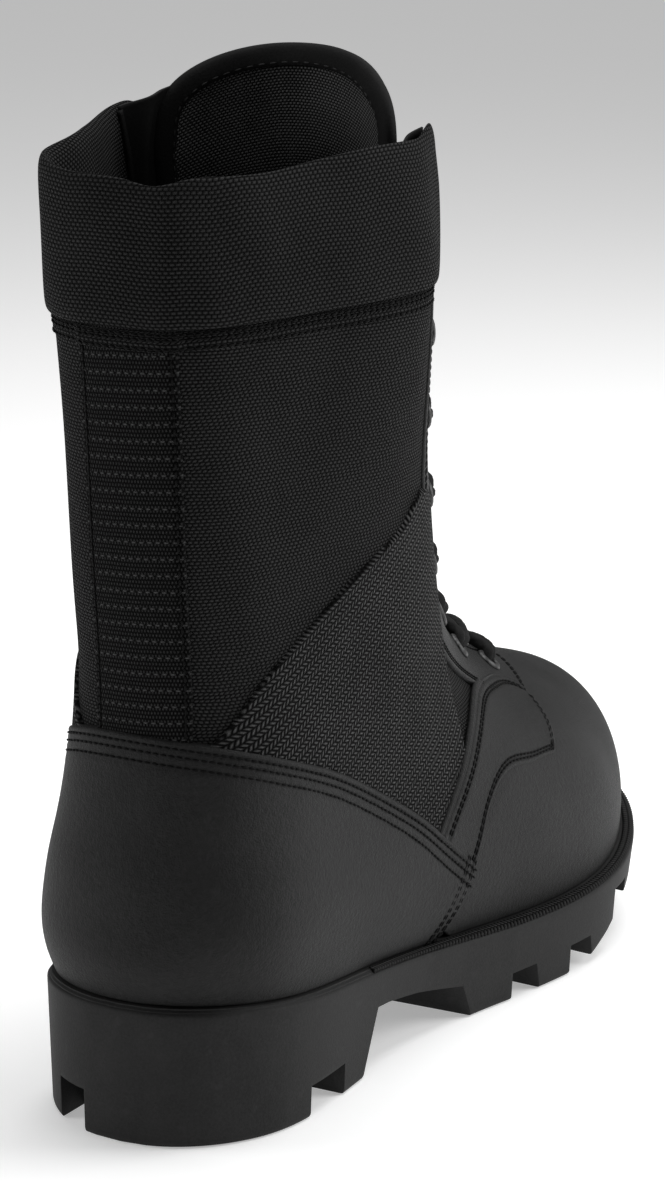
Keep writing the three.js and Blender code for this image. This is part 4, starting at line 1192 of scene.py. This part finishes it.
def grown(source, tree, sizes, name):
    """Result of a geometry tree on a source, as a plain mesh piece."""
    modifier = source.modifiers.new(tree.name, "NODES")
    modifier.node_group = tree
    for item in tree.interface.items_tree:
        if item.in_out == "INPUT" and item.name in sizes:
            modifier[item.identifier] = sizes[item.name]
    bpy.context.view_layer.update()
    graph = bpy.context.evaluated_depsgraph_get()
    mesh = bpy.data.meshes.new_from_object(source.evaluated_get(graph))
    source.modifiers.remove(modifier)
    bpy.data.objects.remove(source)
    mesh.name = name
    mesh.shade_smooth()
    return linked(name, mesh)


def stitch_tree(material):
    tree = new_tree("stitches", {"Pitch": 0.0026, "Length": 0.0019, "Thickness": 0.0006})
    given = plug(tree, "NodeGroupInput")
    curve = plug(tree, "GeometryNodeMeshToCurve", {"Mesh": given.outputs["Geometry"]})
    dotted = plug(tree, "GeometryNodeResampleCurve",
                  {"Curve": curve.outputs[0], "Length": given.outputs["Pitch"]}, mode="LENGTH")
    stitch = plug(tree, "GeometryNodeMeshUVSphere", {"Segments": 6, "Rings": 5, "Radius": 0.5})
    shape = plug(tree, "ShaderNodeCombineXYZ", {
        "X": given.outputs["Thickness"], "Y": given.outputs["Thickness"], "Z": given.outputs["Length"]})
    sized = plug(tree, "GeometryNodeTransform", {
        "Geometry": stitch.outputs["Mesh"], "Scale": shape.outputs[0]})
    tangent = plug(tree, "GeometryNodeInputTangent")
    aim = plug(tree, "FunctionNodeAlignRotationToVector", {"Vector": tangent.outputs[0]}, axis="Z")
    set_out = plug(tree, "GeometryNodeInstanceOnPoints", {
        "Points": dotted.outputs[0], "Instance": sized.outputs[0], "Rotation": aim.outputs[0]})
    real = plug(tree, "GeometryNodeRealizeInstances", {"Geometry": set_out.outputs[0]})
    dressed = plug(tree, "GeometryNodeSetMaterial", {"Geometry": real.outputs[0], "Material": material})
    plug(tree, "NodeGroupOutput", {"Geometry": dressed.outputs[0]})
    return tree


stitches = grown(add_rows("stitch_rows", stitch_rows), stitch_tree(thread),
                 {"Pitch": 0.0024, "Length": 0.0021, "Thickness": 0.0008}, "stitches")
tape_stitches = grown(add_rows("tape_rows", tape_rows), stitch_tree(pale_thread),
                      {"Pitch": 0.0036, "Length": 0.0021, "Thickness": 0.0005}, "tongue_stitches")
for piece in (stitches, tape_stitches):
    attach(piece, "root")
    print(piece.name, len(piece.data.polygons), "faces")

# %% [markdown]
# ## Eyelets and vents
#
# An eyelet is a pressed ring with a rolled rim. One ring is drawn as a lathe profile, and a
# second tree sets a copy on every marked place, turned to the normal of the leather there.

# %% Rings set on the leather
EYELETS = {
    "level": [5.66, 6.6, 7.6, 8.6, 9.6, 10.6, 11.5],
    "lateral": [152, 149, 146.5, 144.5, 142, 138, 133],
    "medial": [152, 149, 146.5, 144.5, 142, 136, 128],
}
VENTS = [[1.6, -62], [1.9, -83]]


def lathe(profile, sides):
    """Closed ring from a section of radii and heights, in metres about Z."""
    profile = np.asarray(profile, float) * MM
    angle = np.linspace(0, 2 * np.pi, sides, endpoint=False)[None, :, None]
    radius, height = profile[:, None, :1], profile[:, None, 1:]
    points = np.concatenate([radius * np.cos(angle), radius * np.sin(angle), height + 0 * angle], -1)
    index = np.arange(len(profile) * sides).reshape(len(profile), sides)
    below, side_by = np.roll(index, -1, axis=0), np.roll(index, -1, axis=1)
    faces = np.stack([index, side_by, np.roll(below, -1, axis=1), below], -1).reshape(-1, 4)
    return points.reshape(-1, 3), faces


def marks(name, places, height):
    """Loose points with their normals, one for each ring."""
    turn = np.radians([place[1] for place in places])
    level = np.array([place[0] for place in places], float)
    points = skin(turn, level, height)
    mesh = bpy.data.meshes.new(name)
    mesh.from_pydata(((points + ORIGIN) * MM).tolist(), [], [])
    facing = mesh.attributes.new("facing", "FLOAT_VECTOR", "POINT")
    normals = np.ascontiguousarray(last_normal(turn, level), np.float32)
    facing.data.foreach_set("vector", normals.ravel())
    return linked(name, mesh)


def ring_tree(name, template, material):
    tree = new_tree(name, {"Size": 1.0})
    given = plug(tree, "NodeGroupInput")
    points = plug(tree, "GeometryNodeMeshToPoints", {"Mesh": given.outputs["Geometry"]})
    facing = plug(tree, "GeometryNodeInputNamedAttribute", {"Name": "facing"}, data_type="FLOAT_VECTOR")
    aim = plug(tree, "FunctionNodeAlignRotationToVector", {"Vector": facing.outputs[0]}, axis="Z")
    ring = plug(tree, "GeometryNodeObjectInfo", {"Object": template})
    size = plug(tree, "ShaderNodeCombineXYZ", {key: given.outputs["Size"] for key in "XYZ"})
    copies = plug(tree, "GeometryNodeInstanceOnPoints", {
        "Points": points.outputs[0], "Instance": ring.outputs["Geometry"], "Rotation": aim.outputs[0],
        "Scale": size.outputs[0]})
    real = plug(tree, "GeometryNodeRealizeInstances", {"Geometry": copies.outputs[0]})
    dressed = plug(tree, "GeometryNodeSetMaterial", {"Geometry": real.outputs[0], "Material": material})
    plug(tree, "NodeGroupOutput", {"Geometry": dressed.outputs[0]})
    return tree


def metal_finish(name, dark, light, roughness=0.4):
    finish = Finish(name, metallic=0.75, specular=0.5)
    wear = finish.noise(1.4, detail=4)
    finish.colour(wear.step(0.35, 0.7), grey(dark), grey(light))
    finish.roughness(roughness + 0.2 * wear)
    finish.bump(wear, 0.03)
    return finish.material


enamel = metal_finish("enamelled_brass", 0.03, 0.09)
ring_profile = [[2.4, -0.6], [2.45, 0.5], [2.8, 0.95], [3.4, 1.1], [4.1, 0.85], [4.6, 0.35],
                [4.7, -0.1], [4.4, -0.3], [3.0, -0.6]]
ring_points, ring_faces = lathe(ring_profile, 32)
ring_mesh = bpy.data.meshes.new("eyelet_ring")
ring_mesh.from_pydata(ring_points.tolist(), [], ring_faces.tolist())
ring = bpy.data.objects.new("eyelet_ring", ring_mesh)
for side, sign in SIDES:
    places = [[level, sign * turn] for level, turn in zip(EYELETS["level"], EYELETS[side])]
    base = 0.05 + STAY_LEATHER * np.interp(EYELETS["level"], *STAY_THINS)
    rings = grown(marks(f"eyelets_{side}", places, base), ring_tree(f"eyelets_{side}", ring, enamel),
                  {"Size": 1.0}, f"eyelets_{side}")
    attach(rings, "root")
    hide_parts(*[f"eyelet_{side}_{i + 1}" for i in range(len(places))])
bpy.data.objects.remove(ring)

# %% [markdown]
# Water leaves the boot through two screened vents low on the inner side. The photograph shows
# the other side, so these follow the usual make: a raised ring round a cupped screen of
# small holes.

# %% Drain vents
VENT_RING = [[3.6, -0.7], [3.6, 0.5], [4.0, 0.95], [4.7, 1.0], [5.3, 0.6], [5.5, -0.1], [5.2, -0.6]]
SCREEN_RADIUS, SCREEN_LINES, SCREEN_WIRE = 3.7, 3, 0.28
vent_parts = []
for vent_level, vent_turn in VENTS:
    at = np.radians(vent_turn)
    centre = skin(at, vent_level, 2.15)
    out = last_normal(at, np.array(float(vent_level)))
    side_on = np.cross(out, [0, 0, 1.0])
    side_on /= np.linalg.norm(side_on)
    rise_on = np.cross(side_on, out)
    points, faces = lathe(VENT_RING, 36)
    frame_of = np.stack([side_on, rise_on, out])
    vent_parts.append((points / MM @ frame_of + centre, faces.tolist(), np.zeros((len(points), 3))))
    for line in range(-SCREEN_LINES, SCREEN_LINES + 1):
        for way in (0, 1):
            half = np.sqrt(max(SCREEN_RADIUS ** 2 - line ** 2, 0.2))
            t = np.linspace(-half, half, 9)
            flat = np.stack([t, np.full(9, float(line))], -1)[:, ::-1 if way else 1]
            cup = 0.35 - 0.05 * (flat ** 2).sum(1) + 0.12 * (way * 2 - 1)
            wire = flat[:, :1] * side_on + flat[:, 1:] * rise_on + cup[:, None] * out + centre
            vent_parts.append(tube(wire, SCREEN_WIRE, sides=6, facing=np.tile(out, (9, 1))))
vents = add_mesh("drain_vents", *joined(vent_parts))
dress(vents, enamel, ["vent_1", "vent_2"])

# %% [markdown]
# ## Laces
#
# The lace is a round braid. It comes up through each eyelet, crosses over the tongue to the
# next pair and ends inside the boot behind the top pair. The braid is drawn as a tube whose
# surface swells in two opposite spirals, the way the strands of a braid do.

# %% Laces
LACE_RADIUS = 1.9
LACE_OVER = np.array([[6, 4.0], [8, 2.9], [12, 2.7]]).T
LACE_HUG = [[5, 1], [9, 1], [10, .92], [11, .8], [12, .68]]


def lace_run(side_from, start, side_to, end):
    """Path of one crossing from hole to hole."""
    hug = np.interp((start + end) / 2, range(7), np.interp(EYELETS["level"], *np.array(LACE_HUG).T))
    levels = EYELETS["level"][start], EYELETS["level"][end]
    turns = []
    for side, i in ((side_from, start), (side_to, end)):
        angle = np.radians(EYELETS[side][i])
        turns.append(np.pi - angle if side == "lateral" else angle - np.pi)
    share = np.linspace(0, 1, 61)
    level = levels[0] + (levels[1] - levels[0]) * share
    round_front = turns[0] + (turns[1] - turns[0]) * share
    turn = np.where(round_front >= 0, np.pi - round_front, -np.pi - round_front)
    rise = np.clip(np.minimum(share, 1 - share) / 0.085, 0, 1)
    over = np.interp(level, *LACE_OVER)
    dive = -2.6 + (over + 2.6) * rise * (2 - rise)
    laid = skin(turn, level, dive)
    straight = laid[6] + (laid[-7] - laid[6]) * np.clip((share[:, None] - 0.1) / 0.8, 0, 1)
    blend = ((1 - hug) * np.sin(np.pi * np.clip((share - 0.1) / 0.8, 0, 1)))[:, None]
    return laid * (1 - blend) + straight * blend


def braid(path, radius, pitch=5.2, strands=8, sides=20, per_mm=2.2):
    walked = travelled(np.asarray(path), 0)[-1]
    path = resampled(path, max(int(walked * per_mm), 8))
    points, faces, cloth = tube(path, radius, sides=sides)
    rows = len(path)
    grid = points.reshape(rows, sides, 3)
    angle = np.linspace(0, 2 * np.pi, sides, endpoint=False)[None]
    along = travelled(path, 0)[:, None] / pitch * 2 * np.pi
    half = strands // 2
    swell = np.maximum(np.cos(half * angle + along), np.cos(half * angle - along))
    out = grid - path[:, None]
    grid = path[:, None] + out * (1 + 0.075 * swell[..., None])
    return grid.reshape(-1, 3), faces, cloth


lace_cloth = plain_finish("lace_braid", 0.004, 0.02, 0.4, 0.1)
bar_path = lace_run("lateral", 0, "medial", 0)
bar = add_mesh("lace_bar_braid", *braid(bar_path, LACE_RADIUS))
dress(bar, lace_cloth, ["lace_bar"])
crossings, lace_length = [], 0
for i in range(6):
    over = lace_run("lateral", i, "medial", i + 1)
    crossings.append(braid(over, LACE_RADIUS))
    under = lace_run("medial", i, "lateral", i + 1)
    middle_share = np.sin(np.pi * np.linspace(0, 1, len(under)))[:, None] ** 2
    inward = last_normal(np.full(len(under), np.pi), np.full(len(under), EYELETS["level"][i] + 0.5))
    under = under + inward * middle_share * 3.4
    crossings.append(braid(under, LACE_RADIUS))
    lace_length += travelled(over, 0)[-1] + travelled(under, 0)[-1]
print("lace in the crossings", round(lace_length), "mm, bar", round(travelled(bar_path, 0)[-1]), "mm")
laces = add_mesh("lace_braid", *joined(crossings))
dress(laces, lace_cloth, [f"lace_cross_{i + 1}" for i in range(6)])

# %% [markdown]
# ## Gussets
#
# Soft cloth joins the tongue to the wall on both sides and folds outwards between them, so the
# boot opens wide and still keeps grit out.

# %% Gussets
GUSSET_TOP = {"lateral": 9.6, "medial": 12.5}
GUSSET_SEAT = {"lateral": 0.98, "medial": 0.86}
GUSSET_FOLD = 8.8
SEAT_LEVELS, SEAT_HEIGHTS = [11.8, 12.2, 12.7, 13.01], [-2.5, -4.6, -4.6, -3.4]
seams = {}
for side, sign in SIDES:
    rows = np.linspace(2.6, GUSSET_TOP[side], 90)[:, None]
    share = np.linspace(0, 1, 24)[None, :]
    inside_level = np.interp(rows, [*range(9), GUSSET_TOP[side]], [*TONGUE_ROWS["level"][:9], 13.01])
    free = np.interp(rows, range(10), TONGUE_ROWS["free"])
    start = tongue_point(sign * 0.985, rows)
    turn = sign * throat_edge(side, inside_level)
    turn = turn * np.interp(inside_level, [11.5, 12.2], [0.9, GUSSET_SEAT[side]])
    seat = skin(turn, inside_level, np.interp(inside_level, SEAT_LEVELS, SEAT_HEIGHTS))
    inner_skin = skin(turn, inside_level, SEAT_HEIGHTS[0])
    fold = skin(turn, inside_level, SEAT_HEIGHTS[0] - GUSSET_FOLD) - inner_skin
    wave = np.sin(np.pi * share) * (1 - 0.85 * free) + 0.07 * np.sin(3 * np.pi * share + 0.7 * rows)
    sheet = start * (1 - share[..., None]) + seat * share[..., None] + fold * wave[..., None]
    sheet = smoothed(sheet, 2)
    out = sheet_normals(sheet) * 0.4
    gusset = closed_sheet(f"gusset_{side}_cloth", sheet + out, sheet - out,
                          grid_quads(*sheet.shape[:2]), cloth_of(sheet))
    dress(gusset, gusset_cloth, [f"gusset_{side}"])
    seams[side] = seat[56:-1, 0]
edging = add_mesh("gusset_edging", *tube(seams["medial"], 1.5, sides=12, flat=0.6, facing=last_normal(
    np.full(len(seams["medial"]), -1.85), np.full(len(seams["medial"]), 12.5))))
dress(edging, binding_tape, [])

# %% [markdown]
# ## Sole
#
# The sole is one rubber moulding. Its outline is the last's own lowest edge pushed out by
# a rim, and the rim carries a knurled ledge round the forefoot. Its wall comes from rings
# stacked from the seat to the tread. The arch and the gaps between the lugs are cut out of it.

# %% Sole blank
RIM_LEDGE = 7
SEAT_EDGE = 2.2
LEDGE_SHARE = np.array([[0, .68], [.07, .6], [.25, .68], [.4, .72], [.55, 1], [.75, .9], [1, 1]]).T
TREAD_RISE = np.array([[0, 0], [.65, 0], [.7, .1], [.74, .28], [.8, .6], [.86, .78], [.93, .92],
                       [1, 1]]).T
TOE_SPRING = 25
LUG_DEPTH = 9
LUG_LENGTH = 17
LUG_GAP = 15.3
LUG_ROWS = 4
LUG_TAPER = 2.4
FOREPART = 0.482
ARCH = [[0.265, -0.1], [0.265, 0], [0.295, 0.47], [0.32, 0.455], [0.38, 0.39], [0.465, 0.265],
        [FOREPART, 0], [FOREPART, -0.1]]
LUG_GROOVES = [{"edge": -0.7, "end": -0.05, "shift": 0}, {"edge": 0.7, "end": 0.05, "shift": -0.5}]
GROOVE_SLANT = 0.06
HEEL_NOTCHES = [
    {"from": 0.146, "to": 0.216, "edge": -0.7, "end": -0.09, "slant": 0.02, "height": 0.23},
    {"from": -0.05, "to": 0.075, "edge": 0.23, "end": 0.12, "slant": 0, "height": 0.31},
]


def eased(table, x):
    return np.interp(x / SOLE_LENGTH, *table)


def tread_height(x):
    return TOE_SPRING * eased(TREAD_RISE, x)


def rim(turn, spread, share):
    """Outline of the sole at a spread beyond the last, out to a share of the ledge."""
    point = last_point(turn, np.zeros(len(turn)))
    out = last_normal(turn, np.zeros(len(turn)))
    reach = spread + share * RIM_LEDGE * eased(LEDGE_SHARE, point[:, 0])
    return point + out * reach[:, None]


HALF = 240
half_share = (1 - np.cos(np.linspace(0, np.pi, HALF + 1))) / 2
half_turn = np.arccos(1 - 2 * (0.35 * half_share + 0.65 * np.linspace(0, 1, HALF + 1)))
ring_turn = np.concatenate([-half_turn[-2:0:-1], half_turn])
count = len(ring_turn)
section = [(SEAT_EDGE - 4.5, 0, -0.3, 1), (SEAT_EDGE - 1.2, 0, -0.3, 1), (SEAT_EDGE - 0.3, 0, -0.45, 1),
           (SEAT_EDGE + 0.3, 0.1, -0.55, 1), (0.6, 0.5, -1.0, 1), (-0.4, 0.9, -1.45, 1),
           (-0.8, 1, -1.75, 1), (-0.35, 1, -2.0, 1), (-0.08, 1, -2.4, 1), (0, 1, -3.0, 1)]
section += [(-1.2 * t, 1, 0, 1 - t) for t in np.linspace(0.06, 0.96, 14)]
section += [(-1.35, 1, 0, 0.02), (-1.7, 1, 0, 0.004), (-2.4, 1, 0, 0)]
rings_of_sole = []
for spread, share, drop, high in section:
    ring_points = rim(ring_turn, spread, share)
    foot = tread_height(ring_points[:, 0])
    top = ring_points[:, 2] + (drop if drop else -3.0)
    ring_points[:, 2] = foot + (top - foot) * high
    rings_of_sole.append(ring_points)


def ring_wall(rings):
    """Faces round stacked rings of points, closed where the last point meets the first."""
    first = np.arange(rings - 1) * count
    closing = np.stack([first + count - 1, first, first + count, first + 2 * count - 1], -1)
    return np.concatenate([grid_quads(rings, count), closing])


def cap(start, flip):
    """Strips across between the two sides of a ring."""
    strips = []
    back, front = HALF - 1, count - 1
    for k in range(HALF):
        strip = [back + k, back + k + 1, (back - k - 1) % count, (back - k) % count]
        strip = [start + i for i in dict.fromkeys(strip)]
        strips.append(strip[::-1] if flip else strip)
    return strips


caps = cap(0, True) + cap((len(section) - 1) * count, False)
outsole = add_mesh("outsole_rubber", np.concatenate(rings_of_sole),
                   ring_wall(len(section)).tolist() + caps)


def wedge(name, outline, low, high, lying=False, taper=0.0):
    """Cutter: a flat outline pulled through a height, or across the sole when lying."""
    outline = np.asarray(outline, float)
    n = len(outline)
    x, y = outline.T
    runs_left = np.sum(x * np.roll(y, -1) - np.roll(x, -1) * y) > 0
    if runs_left == lying:
        outline = outline[::-1]
    ends = []
    for level, narrow in ((low, -taper), (high, taper)):
        flat = np.full((n, 1), float(level))
        shape = outline - [narrow, 0] * (outline[:, :1] > outline[:, 0].mean())
        ends.append(np.concatenate([shape[:, :1], flat, shape[:, 1:]] if lying else [shape, flat], 1))
    index = np.arange(n)
    sides = np.stack([index, np.roll(index, -1), np.roll(index, -1) + n, index + n], -1).tolist()
    return add_mesh(name, np.concatenate(ends), sides + [index[::-1].tolist(), (index + n).tolist()])


def groove_outline(x_from, x_to, edge, end, slant):
    lean = slant * BALL_WIDTH
    return [[x_from, edge * BALL_WIDTH], [x_to, edge * BALL_WIDTH], [x_to + lean, end * BALL_WIDTH],
            [x_from + lean, end * BALL_WIDTH]]


arch_line = [[x * SOLE_LENGTH, z * SOLE_HEIGHT] for x, z in ARCH]
cutters = [wedge("arch_cut", arch_line, -BALL_WIDTH, BALL_WIDTH, lying=True)]
for row in LUG_GROOVES:
    for i in range(LUG_ROWS):
        x = FOREPART * SOLE_LENGTH + LUG_LENGTH + (i + row["shift"]) * (LUG_LENGTH + LUG_GAP)
        ceiling = float(tread_height(np.array(x + LUG_GAP / 2))) + LUG_DEPTH
        outline = groove_outline(x, x + LUG_GAP, row["edge"], row["end"], GROOVE_SLANT)
        cutters.append(wedge(f"lug_cut_{len(cutters)}", outline, -LUG_DEPTH, ceiling, taper=LUG_TAPER))
for notch in HEEL_NOTCHES:
    outline = groove_outline(notch["from"] * SOLE_LENGTH, notch["to"] * SOLE_LENGTH, notch["edge"],
                             notch["end"], notch["slant"])
    ceiling = notch["height"] * SOLE_HEIGHT
    cutters.append(wedge(f"notch_cut_{len(cutters)}", outline, -LUG_DEPTH, ceiling))
for cutter in cutters:
    cut = outsole.modifiers.new("cut", "BOOLEAN")
    cut.object = cutter
    cut.operation = "DIFFERENCE"
    cut.solver = "EXACT"
bevel = outsole.modifiers.new("soft_edges", "BEVEL")
bevel.width = 0.7 * MM
bevel.segments = 2
bevel.limit_method = "ANGLE"
bevel.angle_limit = radians(38)
bpy.context.view_layer.update()
graph = bpy.context.evaluated_depsgraph_get()
cut_mesh = bpy.data.meshes.new_from_object(outsole.evaluated_get(graph))
outsole.modifiers.clear()
outsole.data = cut_mesh
for cutter in cutters:
    bpy.data.objects.remove(cutter)
outsole.data.set_sharp_from_angle(angle=radians(32))
dress(outsole, rubber, ["outsole"])

# %% [markdown]
# The insole board closes the upper from below. It is the sole's own outline drawn in by the
# wall of the upper, with a rounded upper edge.

# %% Insole
INSOLE_RINGS = [[0, -2.4], [2.6, -2.4], [3.5, -3.4]]
inner_rings = []
for lift, inset in INSOLE_RINGS:
    ring_points = rim(ring_turn, inset, 0)
    ring_points[:, 2] += lift
    inner_rings.append(ring_points)
side_faces = ring_wall(len(INSOLE_RINGS))
insole = add_mesh("insole_board", np.concatenate(inner_rings),
                  side_faces[:, ::-1].tolist() + cap(0, False) + cap(2 * count, True))
dress(insole, insole_cloth, ["insole"])

# %% [markdown]
# Round the forefoot the ledge is knurled. Two rows of short rounded ribs lean opposite ways, like
# the turns of a rope, at one pitch along the rim.

# %% Knurled ledge
KNURL_FROM = radians(64)
rib_turn = np.linspace(KNURL_FROM, 2 * np.pi - KNURL_FROM, 700)
RIB_PITCH = 1.7
inner_line, outer_line = rim(rib_turn, SEAT_EDGE + 0.4, 0.02), rim(rib_turn, -0.5, 1.0)
inner_line[:, 2] -= 0.1
outer_line[:, 2] -= 1.3
walked = travelled(outer_line, 0)
LEAN = 1.1
RIB_ROWS = [
    # radius, flatness, and for each of three points its way along the rim and its share of the ledge
    (0.5, 0.8, [[-LEAN, 0.04], [-0.4, 0.27], [0.2, 0.5]]),
    (0.62, 0.9, [[0.3, 0.62], [-0.3, 0.8], [-LEAN, 1.0]]),
]


def on_ledge(along, share):
    """Point at a way along the rim and a share of the ledge's width."""
    a, b = (np.array([np.interp(along, walked, line[:, j]) for j in range(3)])
            for line in (inner_line, outer_line))
    return a + (b - a) * share


ribs = []
for t in np.arange(LEAN, walked[-1] - LEAN, RIB_PITCH):
    for radius, flat, places in RIB_ROWS:
        ribs.append(tube([on_ledge(t + onward, share) for onward, share in places], radius,
                         sides=6, flat=flat))
knurl = add_mesh("knurled_ledge", *joined(ribs))
dress(knurl, rubber, [])

# %% [markdown]
# ## Studio
#
# The photograph is a catalogue picture: white ground, a large soft light above and another
# from the front right, which leaves the back of the heel darker than the toe.

# %% Floor and lights
floor_mesh = bpy.data.meshes.new("floor")
floor_mesh.from_pydata([(-12, -12, 0), (12, -12, 0), (12, 12, 0), (-12, 12, 0)], [], [(0, 1, 2, 3)])
floor = linked("floor", floor_mesh)
floor.location.z = -0.0003
floor_finish = Finish("studio_paper", roughness=0.9, specular=0.1)
floor_finish.colour(floor_finish.noise(900).step(0, 1), (0.86, 0.86, 0.86), (0.9, 0.9, 0.9))
floor_finish.shader.inputs["Emission Color"].default_value = (1, 1, 1, 1)
floor_finish.shader.inputs["Emission Strength"].default_value = 0.35
floor_mesh.materials.append(floor_finish.material)


def lamp(name, place, aim, energy, size):
    data = bpy.data.lights.new(name, "AREA")
    data.energy = energy
    data.size = size
    made = linked(name, data)
    made.location = place
    made.rotation_euler = (Vector(aim) - Vector(place)).to_track_quat("-Z", "Y").to_euler()


lamp("front_softbox", (0.75, -1.05, 0.75), (0, 0, 0.12), 12, 0.8)
lamp("top_softbox", (0.3, -0.05, 1.35), (0.05, 0, 0.1), 15, 1.0)
lamp("back_strip", (-0.6, 0.9, 0.5), (-0.1, 0, 0.12), 3.5, 0.5)
bpy.context.scene.view_settings.view_transform = "Standard"
world = bpy.data.worlds.new("studio")
bpy.context.scene.world = world
world.use_nodes = True
world.node_tree.nodes["Background"].inputs["Color"].default_value = (0.95, 0.95, 0.95, 1)
world.node_tree.nodes["Background"].inputs["Strength"].default_value = 0.16
